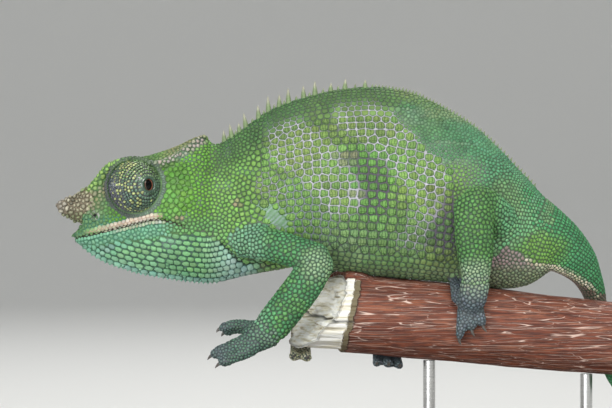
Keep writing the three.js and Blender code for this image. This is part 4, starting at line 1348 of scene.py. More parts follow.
def bricks(one, reach, compass):
    """The outlines of the throat's plates, cut off straight between the rows."""
    slope = slope_of(BELLY, one["place"][:, 0])
    across = unit(np.stack([-slope, 0 * slope, 0 * slope + 1], axis=1))
    rise = np.abs(np.einsum("nci,ni->nc", compass, across))
    limit = (0.5 * GULAR_PITCH - 0.09) / np.maximum(rise, 0.2)
    return np.where((one["rank"] == RANKS["throat"])[:, None], np.minimum(reach, limit), reach)


def scale_faces(rings, corners):
    """The faces of one scale: a fan at the crown, bands of quads down to the rim, and a fan under it."""
    j = np.arange(corners)
    k = (j + 1) % corners
    fan = np.stack([0 * j, 1 + j, 1 + k], axis=1)
    starts = [1 + ring * corners for ring in range(rings + 1)]
    bands = [
        np.stack([low + j, high + j, high + k, low + k], axis=1)
        for low, high in zip(starts[:-1], starts[1:])
    ]
    under = np.stack([0 * j + starts[-1] + corners, starts[-1] + k, starts[-1] + j], axis=1)
    return np.concatenate([fan, under]), np.concatenate(bands)


def scale_skins(one, reach, compass, sort, top_tint, rim_tint, spots):
    """The closed skins of scales of one sort: rings that shrink towards the crown, and a root point sunk
    into the hide. A throat plate's dark rim is only on its long sides. Returns points, faces, colours,
    the patch of the unwrap for each corner, and each point's place across its scale."""
    count, corners = reach.shape
    place, way, height = one["place"], one["normal"], one["height"]
    turn = 2 * np.pi * np.arange(corners) / corners
    star = np.stack([np.cos(turn), np.sin(turn)], axis=1)
    tilt = (-np.sign(place[:, 1]) * slope_of(BELLY, place[:, 0]))[:, None]
    lengthwise = np.abs(star[:, 0] + star[:, 1] * tilt) / np.hypot(1, tilt)
    plate = (one["rank"] == RANKS["throat"])[:, None]
    layers = [(place + way * height[:, None])[:, None]]
    tints = [top_tint[:, None]]
    spokes = [np.zeros((1, 2))]
    for share, lift in [*CROWNS[sort], (1.0, 0.0)]:
        rise = height * lift + (RIM_LIFT if share == 1.0 else 0)
        ring = place[:, None] + compass * (reach * share)[..., None]
        layers.append(ring + way[:, None] * rise[:, None, None])
        amount = ease(share, 0.55, 1.0) * (1 - 0.85 * plate * lengthwise**2)
        tints.append(blend(top_tint[:, None], rim_tint[:, None], amount))
        spokes.append(star * share)
    layers.append((place - way * ROOT_DEPTH)[:, None])
    tints.append(rim_tint[:, None])
    spokes.append(np.zeros((1, 2)))
    points = np.concatenate(layers, axis=1)
    start = (np.arange(count) * points.shape[1])[:, None, None]
    faces = [
        (kind[None] + start).reshape(-1, kind.shape[1]) for kind in scale_faces(len(CROWNS[sort]), corners)
    ]
    spokes = np.concatenate(spokes)[None]
    patch = spots[:, None] + PATCH_REACH * spokes
    local = spokes * np.median(reach, axis=1)[:, None, None]
    tints = np.concatenate(tints, axis=1).reshape(-1, 3)
    return points.reshape(-1, 3), faces, tints, patch.reshape(-1, 2), local.reshape(-1, 2)


def coat_piece(name, one, reach, compass, tops, rims, spots, material):
    """One piece of the coat, from the scales of each sort in it."""
    skins, tints, patches, across, lobed = [], [], [], [], []
    for number, sort in enumerate(SORTS):
        chosen = one["sort"] == number
        if not chosen.any():
            continue
        some = picked(one, chosen)
        points, faces, tint, patch, local = scale_skins(
            some, reach[chosen], compass[chosen], sort, tops[chosen], rims[chosen], spots[chosen]
        )
        skins.append((points, faces))
        tints.append(tint)
        patches.append(patch)
        across.append(local)
        lobed.append(np.repeat(some["rank"] == RANKS["lobed"], len(points) // chosen.sum()))
    lobe_u, lobe_v = np.vstack(across).T
    values = {"lobe_u": lobe_u, "lobe_v": lobe_v, "lobed": np.concatenate(lobed).astype(float)}
    piece = make_piece(name, joined(skins), material, tint=np.vstack(tints), values=values)
    corners = np.empty(len(piece.data.loops), np.int32)
    piece.data.loops.foreach_get("vertex_index", corners)
    layer = piece.data.uv_layers.new(name="OFBake")
    layer.data.foreach_set("uv", np.vstack(patches)[corners].astype(np.float32).ravel())
    return piece


def scale_gap(one, regions):
    """How wide the line beside a scale is: widest where the net shows on the flank, none on the throat,
    whose plates are cut apart another way."""
    place = one["place"]
    flank = region_mask(regions, "body") * ease(place[:, 0], -34, -28) * (1 - ease(place[:, 0], 24, 32))
    shown = flank * (0.05 + 0.06 * pale_net(place) + 0.16 * dusk(place) + 0.05 * behind_shoulder(place))
    gap = 0.055 + shown * (1 - smooth_back(place)) - 0.035 * temple(place)
    return np.where(one["rank"] == RANKS["throat"], 0, gap)


def rim_colour(place, regions, tops, settings):
    """The colour of the scales' rims: darker than their tops, and hardly so where they lie smooth."""
    x, _, z = place.T
    rims = blend(tops * [0.42, 0.56, 0.6], net_colour(place, settings), 0.12 + 0.35 * dusk(place))
    mouth, over = line_distance(place, MOUTH_LINE)
    smooth = np.maximum.reduce([
        (1 - ease(mouth, 1.6, 2.2)) * (x < -57),
        temple(place),
        ease(z - through(THROAT_TOP, x), -0.3, 0.8) * (over < 0) * ease(-x, 54, 58),
        0.7 * smooth_back(place),
        0.55 * ease(-x, 48, 56),
    ])
    return blend(rims, tops * 0.85, smooth * region_mask(regions, "body", "tail"))


def make_coat(settings):
    """Every scale of the hide, in pieces by region."""
    random = np.random.default_rng(11)
    points, faces = mesh_arrays(bpy.data.objects["hide"].data)
    points = points / MM
    normal = vertex_normals(points, faces)
    rows = settled(placed_seeds(random), points, normal)
    place, rank = rows["place"], rows["rank"]
    open_skin = (armpit(place) > 0.4) | (nostril_distance(place) < 0.9)
    open_skin |= (smooth_back(place) > 0.5) & (rank >= RANKS["flank"]) & (rank < RANKS["ring"])
    rows = spaced(picked(rows, ~open_skin))
    loose = settled(strewn_seeds(points, faces, random), points, normal)
    near, away = neighbours(loose["place"], rows["place"], 1, 2.4)
    clear = away[:, 0] >= 0.475 * (loose["spacing"] + rows["spacing"][near[:, 0]])
    loose = spaced(picked(loose, clear & (nostril_distance(loose["place"]) > 0.8)), 0.84)
    one = spread(together([rows, loose]), points, normal, 7)
    place = one["place"]
    regions, spots = roots(place)
    tone = random.normal(1, 0.09, len(place))[:, None] * (1 + random.normal(0, 0.035, (len(place), 3)))
    tops = scale_colour(place, regions, settings) * tone
    rims = rim_colour(place, regions, tops, settings)
    gap = scale_gap(one, regions)
    fine = outlines(one, 12, gap)
    reach, compass = outlines(one, 8, gap)
    coarse = bricks(one, reach, compass), compass
    x, y, _ = place.T
    limb = region_mask(regions, "arm", "leg", "foot", "toe") > 0
    trunk = ~limb & (x >= -42) & (x < 34)
    groups = {
        "scales_head": (~limb & (x < -42), coarse),
        "scales_trunk_left": (trunk & (y < 0), fine),
        "scales_trunk_right": (trunk & (y >= 0), fine),
        "scales_tail": (~limb & (x >= 34), coarse),
        "scales_limbs_left": (limb & (y < 0), coarse),
        "scales_limbs_right": (limb & (y >= 0), coarse),
    }
    material = scale_material()
    for name, (chosen, (reach, compass)) in groups.items():
        coat_piece(
            name, picked(one, chosen), reach[chosen], compass[chosen], tops[chosen], rims[chosen],
            spots[chosen], material,
        )


# ---- finishes ----

class Finish:
    """A material, or a group of nodes, with short ways to add nodes and join them."""

    def __init__(self, tree):
        self.tree = tree

    def add(self, kind, settings=None, **inputs):
        """A new node with its settings, and its inputs joined or set."""
        node = self.tree.nodes.new(kind)
        for key, value in (settings or {}).items():
            setattr(node, key, value)
        for key, value in inputs.items():
            self.feed(node, key.replace("_", " "), value)
        return node

    def feed(self, node, socket, value):
        """Joins an input to another node's output, or sets it. A number in words picks it by its place."""
        target = node.inputs[int(socket)] if socket.isdigit() else node.inputs[socket]
        if isinstance(value, bpy.types.NodeSocket):
            self.tree.links.new(value, target)
        else:
            target.default_value = value

    def pair(self, kind, settings, first, second):
        """The first output of a node whose first two inputs are given."""
        node = self.add(kind, settings)
        self.feed(node, "0", first)
        self.feed(node, "1", second)
        return node.outputs[0]

    def maths(self, operation, a, b=0.0):
        """One step of arithmetic."""
        return self.pair("ShaderNodeMath", {"operation": operation}, a, b)

    def ramp(self, value, stops):
        """Colours or greys at places from 0 to 1, blended between."""
        node = self.add("ShaderNodeValToRGB", Fac=value)
        elements = node.color_ramp.elements
        while len(elements) < len(stops):
            elements.new(0.5)
        for element, (place, colour) in zip(elements, stops):
            element.position = place
            element.color = (*colour, 1) if hasattr(colour, "__len__") else (colour, colour, colour, 1)
        return node.outputs[0]

    def mixed(self, share, a, b, how="MIX"):
        """Two colours mixed."""
        node = self.add("ShaderNodeMix", {"data_type": "RGBA", "blend_type": how})
        for socket, value in (("0", share), ("6", a), ("7", b)):
            self.feed(node, socket, value)
        return node.outputs[2]

    def attribute(self, name, output="Fac"):
        """A value that the mesh carries at its points."""
        return self.add("ShaderNodeAttribute", {"attribute_name": name}).outputs[output]

    def place(self, scale=(1, 1, 1)):
        """Object coordinates, stretched by a Mapping node."""
        where = self.add("ShaderNodeTexCoord").outputs["Object"]
        return self.add("ShaderNodeMapping", Vector=where, Scale=scale).outputs[0]

    def noise(self, where, scale, detail=3.0, roughness=0.55):
        """Smooth random greys at places, scale times to a unit."""
        made = self.add("ShaderNodeTexNoise", Vector=where, Scale=scale, Detail=detail, Roughness=roughness)
        return made.outputs[0]

    def grain(self, stretch, detail=3.0, roughness=0.55):
        """Noise as many times to a metre along each axis as stretch says."""
        return self.noise(self.place(stretch), 1.0, detail, roughness)

    def relief(self, shader, strength, distance, height):
        """A bump of the shader's surface."""
        bump = self.add("ShaderNodeBump", Strength=strength, Distance=distance, Height=height)
        self.feed(shader, "Normal", bump.outputs[0])

    def cracks(self, scale, width):
        """1 on the thin lines between long cells, where they run along X, and 0 elsewhere: a place counts
        only if another a little further along X is on a line too."""
        where = self.place(scale)
        wander = self.add("ShaderNodeTexNoise", Vector=where, Scale=0.6, Detail=2.0).outputs["Color"]
        here = self.pair("ShaderNodeVectorMath", {"operation": "ADD"}, where, wander)
        further = self.pair("ShaderNodeVectorMath", {"operation": "ADD"}, here, (1.9 * width, 0, 0))
        lines = []
        for spot in (here, further):
            cells = self.add("ShaderNodeTexVoronoi", {"feature": "DISTANCE_TO_EDGE"}, Vector=spot, Scale=1.0)
            lines.append(self.ramp(cells.outputs["Distance"], [(0.4 * width, 1.0), (width, 0.0)]))
        return self.maths("MINIMUM", *lines)


def material(name, roughness=0.5, **constants):
    """A material with its Principled shader, and a Finish to build on."""
    made = bpy.data.materials.new(name)
    made.use_nodes = True
    finish = Finish(made.node_tree)
    shader = made.node_tree.nodes["Principled BSDF"]
    shader.inputs["Roughness"].default_value = roughness
    for key, value in constants.items():
        shader.inputs[key.replace("_", " ")].default_value = value
    return made, finish, shader


def mottle_group():
    """Colour that wanders a little lighter and darker: the colour times noise of two sizes."""
    if "mottle" in bpy.data.node_groups:
        return bpy.data.node_groups["mottle"]
    group = bpy.data.node_groups.new("mottle", "ShaderNodeTree")
    face = group.interface
    face.new_socket("Color", in_out="INPUT", socket_type="NodeSocketColor")
    for name, value in (("Scale", 2000.0), ("Amount", 0.3)):
        face.new_socket(name, in_out="INPUT", socket_type="NodeSocketFloat").default_value = value
    face.new_socket("Color", in_out="OUTPUT", socket_type="NodeSocketColor")
    face.new_socket("Height", in_out="OUTPUT", socket_type="NodeSocketFloat")
    build = Finish(group)
    given = build.add("NodeGroupInput").outputs
    result = build.add("NodeGroupOutput")
    where = build.add("ShaderNodeTexCoord").outputs["Object"]
    fine = build.noise(where, given["Scale"], 4.0)
    coarse = build.noise(where, build.maths("MULTIPLY", given["Scale"], 0.22), 2.0)
    both = build.maths("ADD", build.maths("MULTIPLY", fine, 1.3), build.maths("MULTIPLY", coarse, 0.7))
    swing = build.maths("MULTIPLY", build.maths("SUBTRACT", both, 1.0), given["Amount"])
    factor = build.maths("ADD", swing, 1.0)
    grey = build.add("ShaderNodeCombineColor", Red=factor, Green=factor, Blue=factor).outputs[0]
    build.feed(result, "Color", build.mixed(1.0, given["Color"], grey, "MULTIPLY"))
    build.feed(result, "Height", both)
    return group


def mottled(finish, scale, amount):
    """The piece's own tint, mottled, and the height that goes with the mottle."""
    tint = finish.attribute("tint", "Color")
    group = {"node_tree": mottle_group()}
    node = finish.add("ShaderNodeGroup", group, Color=tint, Scale=scale, Amount=amount)
    return node.outputs["Color"], node.outputs["Height"]


def tinted_material(name, roughness, mottle, bump=None, **constants):
    """A material coloured by its mottled tint. mottle is [scale, amount] and bump [strength, distance]."""
    made, finish, shader = material(name, roughness, **constants)
    colour, height = mottled(finish, *mottle)
    finish.feed(shader, "Base Color", colour)
    if bump:
        finish.relief(shader, *bump, height)
    return made


def hide_material():
    """Soft skin between the scales: its tint, with fine creases."""
    return tinted_material("hide skin", 0.55, (2600.0, 0.6), (0.5, 0.0002))


def lid_material():
    """The skin of the eye's turret: moist, dark between its beads."""
    moist = {"Specular_IOR_Level": 0.6, "Coat_Weight": 0.5, "Coat_Roughness": 0.12}
    return tinted_material("turret lid", 0.3, (3200.0, 0.5), (0.35, 0.00012), **moist)


def eye_material():
    """A wet ball: black pupil and a thin warm ring, coloured by its tint."""
    return tinted_material("eyeball", 0.06, (5000.0, 0.3), Specular_IOR_Level=0.18)


def horn_material():
    """Dry horn, a warm tint with fine pits."""
    return tinted_material("horn", 0.6, (2200.0, 0.7), (0.5, 0.0002))


def claw_material():
    """Dark horn, polished by use."""
    return tinted_material("claw", 0.3, (3000.0, 0.4), Specular_IOR_Level=0.6)


def scale_material():
    """Horny scales, satin, with a faint grain. Fine lines split the flank's tiles into upright lobes."""
    made, finish, shader = material("scales", 0.5, Specular_IOR_Level=0.28)
    colour, height = mottled(finish, 1500.0, 0.55)
    wobble = finish.maths("MULTIPLY", finish.grain((900, 900, 900), 1.0), 0.9)
    lines = []
    for name, half_pitch, width in (("lobe_u", 0.42, 0.16), ("lobe_v", 1.0, 0.13)):
        away = finish.maths("PINGPONG", finish.maths("ADD", finish.attribute(name), wobble), half_pitch)
        lines.append(finish.ramp(away, [(0.02, 1.0), (width, 0.0)]))
    split = finish.maths("MULTIPLY", finish.maths("MAXIMUM", *lines), finish.attribute("lobed"))
    dark = finish.mixed(1.0, colour, (0.3, 0.4, 0.3, 1), "MULTIPLY")
    finish.feed(shader, "Base Color", finish.mixed(split, colour, dark))
    sunk = finish.maths("SUBTRACT", height, finish.maths("MULTIPLY", split, 1.2))
    finish.relief(shader, 0.35, 0.0001, sunk)
    finish.feed(shader, "Roughness", finish.ramp(height, [(0.3, 0.42), (0.8, 0.58)]))
    return made


def perch_material():
    """Bark and bare wood, told apart by the bare attribute: red-brown bark with pale wavy cracks along
    it, and pale split wood with long fibres."""
    made, finish, shader = material("bark and wood", 0.7)
    plates = finish.grain((60, 640, 640), 4.0, 0.6)
    fine = finish.grain((220, 2300, 2300))
    reds = [(0.3, (0.1, 0.02, 0.008)), (0.5, (0.21, 0.055, 0.025)), (0.7, (0.31, 0.11, 0.055))]
    streaks = finish.ramp(fine, [(0.4, 0.0), (0.6, 0.8)])
    bark = finish.mixed(streaks, finish.ramp(plates, reds), (0.06, 0.018, 0.012, 1))
    long_cracks, short_cracks = finish.cracks((52, 620, 620), 0.035), finish.cracks((74, 1000, 1000), 0.04)
    lines = finish.maths("MAXIMUM", long_cracks, short_cracks)
    breaks = finish.ramp(finish.grain((80, 360, 360), 2.0), [(0.34, 0.0), (0.47, 1.0)])
    pale = finish.maths("MULTIPLY", finish.maths("MULTIPLY", lines, breaks), 0.9)
    bark = finish.mixed(pale, bark, (0.68, 0.5, 0.42, 1))
    creams = [(0.31, (0.42, 0.35, 0.23)), (0.42, (0.82, 0.77, 0.62)), (0.54, (1.0, 0.99, 0.94))]
    wood = finish.ramp(finish.grain((50, 220, 1500), 4.0), creams)
    inner = finish.mixed(finish.ramp(finish.attribute("bare"), [(0.45, 0.0), (0.55, 1.0)]), bark, wood)
    tint = finish.attribute("tint", "Color")
    finish.feed(shader, "Base Color", finish.mixed(1.0, inner, tint, "MULTIPLY"))
    height = finish.maths("ADD", finish.maths("MULTIPLY", plates, 0.6), finish.maths("MULTIPLY", fine, 0.4))
    height = finish.maths("SUBTRACT", height, finish.maths("MULTIPLY", lines, 0.35))
    finish.relief(shader, 0.7, 0.0006, height)
    return made


def stand_material():
    """Dark stained wood under a satin lacquer: grain stretched along the base."""
    made, finish, shader = material("stained wood", 0.35, Coat_Weight=0.3, Coat_Roughness=0.25)
    grain = finish.grain((18, 420, 420), 5.0, 0.65)
    browns = [(0.3, (0.022, 0.011, 0.006)), (0.55, (0.055, 0.028, 0.015)), (0.8, (0.1, 0.055, 0.03))]
    finish.feed(shader, "Base Color", finish.ramp(grain, browns))
    finish.relief(shader, 0.15, 0.0002, grain)
    return made


def steel_material():
    """Brushed bare steel: fine scratches round the rod."""
    made, finish, shader = material("brushed steel", 0.3, Metallic=1.0)
    scratch = finish.grain((90, 90, 5200))
    greys = [(0.3, (0.5, 0.5, 0.5)), (0.7, (0.68, 0.68, 0.67))]
    finish.feed(shader, "Base Color", finish.ramp(scratch, greys))
    finish.feed(shader, "Roughness", finish.ramp(scratch, [(0.3, 0.24), (0.7, 0.4)]))
    return made


# ---- eyes ----

# The way that faces the snout on a turret, and how far round the gaze its rings of beads go, in degrees.
SNOUTWARDS = np.array([-0.8, 0, -0.25])
LAST_BEADS = 132
# Tones of the lid between its beads, of the beads, and of the eyeball. The lid's groove tone is painted
# shade.
LID = {
    "top": [0.085, 0.1, 0.11], "groove": [0.014, 0.018, 0.022], "rim": [0.035, 0.075, 0.05],
    "foot": [0.12, 0.11, 0.13],
}
# The beads' crescent tone is lilac, dark as painted shade low on the front of the turret.
BEAD = {
    "green": [0.09, 0.175, 0.11], "grey": [0.06, 0.085, 0.1], "upper": [0.13, 0.235, 0.06],
    "crescent": [0.1, 0.095, 0.13], "bright": [0.37, 0.43, 0.16],
}
EYEBALL = {"white": [0.05, 0.06, 0.045], "pupil": [0.002, 0.002, 0.002]}


def gaze_frame(side):
    """The way an eye looks, and two ways across it: up and forwards."""
    gaze = unit(np.array(GAZE[side]))
    up = unit(np.array([0, 0, 1.0]) - gaze * gaze[2])
    return gaze, up, np.cross(gaze, up)


def round_gaze(side, turn):
    """The ways square to the gaze at each angle round it."""
    _, up, across = gaze_frame(side)
    return up * np.cos(turn)[..., None] + across * np.sin(turn)[..., None]


def lid_profile(around):
    """The lid in section: rows of [distance along the gaze, distance from its line], from inside the
    opening, over the raised rim and its groove, then round the dome to behind its middle."""
    rim = np.array([
        [5.4, 1.35], [6.4, EYE["opening"]], [7.15, 1.6], [7.42, 1.85], [7.4, 2.15], [7.12, 2.5], [6.9, 2.75],
    ])
    angle = np.radians(np.linspace(24, 128, around))
    dome = TURRET["radius"] * np.stack([np.cos(angle), np.sin(angle)], axis=1)
    return np.vstack([evenly(np.column_stack([rim, rim[:, :1]]), 0.22)[:, :2], dome])


def turret_wobble(way):
    """How many degrees the lid's folds wander from even rings."""
    place = way.reshape(-1, 3) * TURRET["radius"]
    return 7 * (noise(place, 5.0, 71).reshape(way.shape[:-1]) - 0.5)


def turret_points(side):
    """The lid carried round the gaze, with rings of folds, deepest towards the snout. Returns its grid,
    how far round from the gaze each ring is in degrees, and the folds' height from -1 to 1."""
    gaze, _, _ = gaze_frame(side)
    profile = lid_profile(110)
    turn = 2 * np.pi * np.arange(200) / 200
    out = profile[:, None, :1] * gaze + profile[:, None, 1:] * round_gaze(side, turn)
    way = unit(out)
    angle = np.degrees(np.arctan2(profile[:, 1], profile[:, 0]))[:, None]
    folds = np.cos(2 * np.pi * (angle + turret_wobble(way)) / LID_FOLD)
    deep = ease(angle, 26, 36) * (0.06 + 0.13 * ease(dot(way, SNOUTWARDS), -0.1, 0.7))
    return turret_centre(side) + out + way * (deep * (folds - 0.7))[..., None], angle, folds


def lid_tint(angle, folds):
    """The lid's colour: dark in its grooves as painted shade, green at the opening's rim, and lilac-grey at
    its foot.
    """
    angle = np.broadcast_to(angle, folds.shape).ravel()
    tint = painted(LID["top"], [
        # Painted shade: dark in the grooves between the lid's folds.
        (LID["groove"], 0.9 * ease(-folds.ravel(), -0.3, 0.7)),
        (LID["rim"], 1 - ease(angle, 17, 24)),
        (LID["foot"], 0.7 * ease(angle, 112, 122)),
    ])
    return np.vstack([tint, tint[:1], tint[-1:]])


def bead_seeds(side, random):
    """Beads in rings round the gaze, one ring on each fold of the lid."""
    gaze, _, _ = gaze_frame(side)
    made = []
    for ring, degrees in enumerate(np.arange(3 * LID_FOLD, LAST_BEADS, LID_FOLD)):
        theta = np.radians(degrees)
        count = max(8, round(2 * np.pi * TURRET["radius"] * np.sin(theta) / 0.86))
        ways = round_gaze(side, staggered(count, ring, 0.5, 0.1, random) * 2 * np.pi / count)
        wobble = turret_wobble(gaze * np.cos(theta) + ways * np.sin(theta))
        theta = (theta - np.radians(wobble) + random.normal(0, 0.012, count))[:, None]
        place = turret_centre(side) + (gaze * np.cos(theta) + ways * np.sin(theta)) * TURRET["radius"]
        made.append(seeds(place, random.uniform(0.7, 0.95, count), 0.15, "bead", RANKS["eye bead"]))
    return together(made)


def bead_colour(way, off, side, random):
    """The beads' colour from their way out of the turret and how far off the gaze they are: green, grey
    towards the snout and lilac below it, darkened there as painted shade, some of them bright."""
    forward = way @ SNOUTWARDS
    crescent = ease(way @ unit(np.array([-0.8, 0.25 * side, -0.55])), 0.72, 0.95)
    colour = painted(BEAD["green"], [
        (BEAD["grey"], ease(forward, 0.15, 0.6)),
        (BEAD["upper"], 0.85 * ease(way[:, 2], 0, 0.6) * (1 - ease(off, 70, 110))),
        # Painted shade with a lilac tone: the beads darker low on the front and round the turret's foot.
        (BEAD["crescent"], np.maximum(ease(off, 98, 122), 0.8 * crescent)),
    ])
    bright = random.random(len(way)) < 0.48 * ease(forward, -0.5, 0) * (1 - ease(off, 85, 118))
    return np.where(bright[:, None], BEAD["bright"], colour) * random.normal(1, 0.18, len(way))[:, None]


def bumpy_piece(name, one, colour, rim_share, spots, material):
    """A coat of beads over horn or lid: their rims are darker than their tops by a share."""
    reach, compass = outlines(one, 8, np.full(len(colour), 0.12))
    tops, rims = np.maximum(colour, 0.01), np.maximum(colour * rim_share, 0.01)
    coat_piece(name, one, reach, compass, tops, rims, np.clip(spots, 0.01, 0.99), material)


def make_turret(name, material):
    """A turret: its lid, beaded in rings round the opening."""
    side = SIDES[name]
    grid, angle, folds = turret_points(side)
    points, faces = closed(grid)
    tint = lid_tint(angle, folds)
    make_piece(f"turret_lid_{name}", (points, faces), material, [f"turret_{name}"], tint)
    random = np.random.default_rng(29 + side)
    one = settled(bead_seeds(side, random), points, vertex_normals(points, faces))
    outer = dot(one["place"] - turret_centre(side), [0, side, 0]) > 0.6
    one = picked(one, outer)
    gaze, up, across = gaze_frame(side)
    way = unit(one["place"] - turret_centre(side))
    off = np.degrees(np.arccos(np.clip(way @ gaze, -1, 1)))
    colour = bead_colour(way, off, side, random)
    spots = np.stack([0.5 + off * np.arctan2(way @ up, way @ across) / 400, off / 130], axis=1)
    bumpy_piece(f"turret_beads_{name}", one, colour, 0.4, spots, material)


def make_eyeball(name, material, settings):
    """An eyeball: a sphere whose tint runs from the pupil through a warm ring to dark. The pupil is a
    little taller than wide."""
    side = SIDES[name]
    gaze, up, across = gaze_frame(side)
    centre = turret_centre(side) + gaze * (TURRET["radius"] - EYE["radius"] - 0.12)
    theta = np.radians(np.linspace(0.5, 178, 80))[:, None, None]
    ways = round_gaze(side, 2 * np.pi * np.arange(96) / 96)
    points, faces = closed(centre + EYE["radius"] * (gaze * np.cos(theta) + ways * np.sin(theta)))
    out = (points - centre) / EYE["radius"]
    reach = np.hypot((out @ across) / 0.82, (out @ up) / 1.15)
    rearwards = 0.2 + 0.8 * ease(-(out @ across), -0.25, 0.2)
    ring = ease(reach, 0.45, 0.48) * (1 - ease(reach, 0.52, 0.6)) * rearwards
    pupil = 1 - ease(reach, 0.45, 0.48)
    tint = painted(EYEBALL["white"], [(settings.iris, ring), (EYEBALL["pupil"], pupil)])
    make_piece(f"eyeball_{name}", (points, faces), material, [f"eye_{name}"], tint)


# ---- horns, crest spines and claws ----

# Tones from the foot of each to its tip: the horn's skin, its bumps, the crest's cones and the claws.
HORN_SKIN = [[0.16, 0.13, 0.08], [0.2, 0.17, 0.13]]
HORN_BUMP = [[0.3, 0.28, 0.195], [0.38, 0.35, 0.29]]
HORN_GREENS = {"below": [0.15, 0.18, 0.08], "above": [0.22, 0.33, 0.12]}
SPINE_TONES = [[0.17, 0.24, 0.11], [0.36, 0.36, 0.27]]
CLAW_TONES = [[0.05, 0.045, 0.04], [0.1, 0.09, 0.08]]
# A claw in stations of [ahead, down, radius]: the first two as shares of the toe's tip, the radius in mm.
CLAW = [(0.2, 0.0, 0.6), (0.9, 0.1, 0.44), (1.25, 0.38, 0.28), (1.42, 0.68, 0.08)]


def bump_seeds(side, points, random):
    """Blunt bumps in rings from the horn's root on the snout to its tip."""
    rows = mirrored(HORN, side)
    made = []
    for ring, x in enumerate(np.arange(-76.6, -87.6, -0.92)):
        share = (x - HORN[0][0]) / (HORN[-1][0] - HORN[0][0])
        _, y, z, high, wide = along(rows, np.array([share]))[0]
        count = max(6, round(2 * np.pi * np.sqrt((high**2 + wide**2) / 2) / 1.05))
        turn = 2 * np.pi * staggered(count, ring, 0.5, 0.08, random) / count
        place = np.stack([np.full(count, x), y + wide * np.sin(turn), z + high * np.cos(turn)], axis=1)
        size = random.uniform(0.8, 1.6, count)
        place = place + random.normal(0, 0.22, place.shape)
        made.append(seeds(place, size, random.uniform(0.32, 0.55, count) * size, "bead", size))
    made.append(seeds(points[-1:] + [[-0.1, 0, 0]], 1.2, 0.4, "bead", 2))
    return together(made)


def make_horn(name, material):
    """A horn of skin: a short flattened cone set with rings of blunt bumps."""
    side = SIDES[name]
    random = np.random.default_rng(41 + side)
    points, faces = closed(tube_grid(mirrored(HORN, side), 44, 48, -0.35))
    tint = blend(HORN_SKIN[0], HORN_SKIN[1], ease(-points[:, 0], 84.5, 87))
    make_piece(f"horn_core_{name}", (points, faces), material, [f"horn_{name}"], tint)
    bumps = settled(bump_seeds(side, points, random), points, vertex_normals(points, faces), reach=1.2)
    one = spaced(bumps)
    x, y, z = one["place"].T
    colour = painted(HORN_BUMP[0], [
        (HORN_BUMP[1], ease(-x, 83.5, 86.5)),
        (HORN_GREENS["below"], 0.8 * ease(77.5 - z, -0.5, 2)),
        (HORN_GREENS["above"], 0.8 * ease(z - 82, -0.5, 1.5)),
    ])
    colour = colour * random.normal(1, 0.2, len(x))[:, None]
    girth_share = np.arctan2(z - 78.6, y - 2.6 * side) / (2 * np.pi) + 0.5
    spots = np.stack([(x + 90) / 14, np.mod(girth_share, 1)], axis=1)
    bumpy_piece(f"horn_bumps_{name}", one, colour, 0.45, spots, material)


def cone_rows(foot, tip, radius, rings, power, bend):
    """A pointed cone as rows for a tube: its line bends by a parabola, and its radius falls with a power
    of the length left."""
    share = np.linspace(0, 0.97, rings)[:, None]
    line = foot + (tip - foot) * share + np.array(bend) * share**2
    thick = radius * (1 - share) ** power
    return np.hstack([line, thick, thick])


def make_spines():
    """The crest: single cones of different heights along the ridge, with small ones between them where
    there is room, and a low comb behind."""
    random = np.random.default_rng(5)
    skins, tints = [], []
    rows = [(x, height, 0.9) for x, height in SPINES]
    pairs = zip(SPINES[:-1], SPINES[1:])
    between = [(0.5 * (a[0] + b[0]), 0.7, 0.55) for a, b in pairs if b[0] - a[0] > 1.9]
    after = [(x, random.uniform(0.25, 0.5), 0.45) for x in np.arange(0, 46, 0.95)]
    for x, height, radius in rows + between + after:
        lean = -0.3 * np.arctan(slope_of(BACK, x)) + random.normal(0, 0.05)
        ridge = np.array([x, 0, float(through(BACK, x))])
        way = np.array([np.sin(lean), random.normal(0, 0.03), np.cos(lean)])
        cone = cone_rows(ridge - way * 1.1, ridge + way * height, radius, 14, 0.72, [0.25, 0, 0])
        skins.append(closed(tube_grid(cone, 14, 10, 0.0, round_from=False)))
        share = np.clip((skins[-1][0] - ridge) @ way / height, 0, 1)
        tints.append(blend(SPINE_TONES[0], SPINE_TONES[1], ease(share, 0.1, 0.8)))
    make_piece("crest_spines", joined(skins), horn_material(), (), np.vstack(tints))


def make_claws():
    """A short curved claw at the tip of each toe."""
    skins, tints = [], []
    for name, limb in LIMBS.items():
        for way, radius, hook in limb["toes"]:
            tip, back = np.array(way[-1]), np.array(way[-2])
            ahead, curl = unit(tip - back), unit(np.array(hook, float))
            size = radius * (1 - TOE_TAPER) * (0.8 if name == "left_hand" else 1)
            rows = [[*(tip + (ahead * out + curl * down) * size), r, r * 0.8] for out, down, r in CLAW]
            skins.append(closed(tube_grid(rows, 20, 12)))
            share = np.clip((skins[-1][0] - tip) @ ahead / (1.5 * size), 0, 1)
            tints.append(blend(CLAW_TONES[0], CLAW_TONES[1], share))
    make_piece("claws", joined(skins), claw_material(), (), np.vstack(tints))


# ---- the perch ----

# The tone of the torn bark's edge: grey-brown, and dark as painted shadow along the tear. The broken face
# has rings at these shares of the radius, and the sawn face at these shares and places beyond the branch's
# right end.
TORN_EDGE_TONE_AND_SHADE = [0.19, 0.16, 0.1]
BREAK_SHARES = np.linspace(0.03, 0.95, 34)
SAWN_RINGS = [(0.98, -0.15), (0.94, 0), (0.7, 0), (0.4, 0), (0.12, 0)]


def grain_noise(x, flat, stretch, pitch, seed):
    """Random numbers from -0.5 to 0.5 over the branch, stretched along it."""
    return noise(np.column_stack([x / stretch, flat]), pitch, seed) - 0.5


def crack_height(y, z):
    """How far above the broken face's one deep crack a place is."""
    wander = noise(np.stack([y * 0, y, y * 0], axis=-1), 2.5, 82) - 0.5
    return z - (BREAK["place"][2] - 1.2 + 0.06 * y + 0.9 * wander)


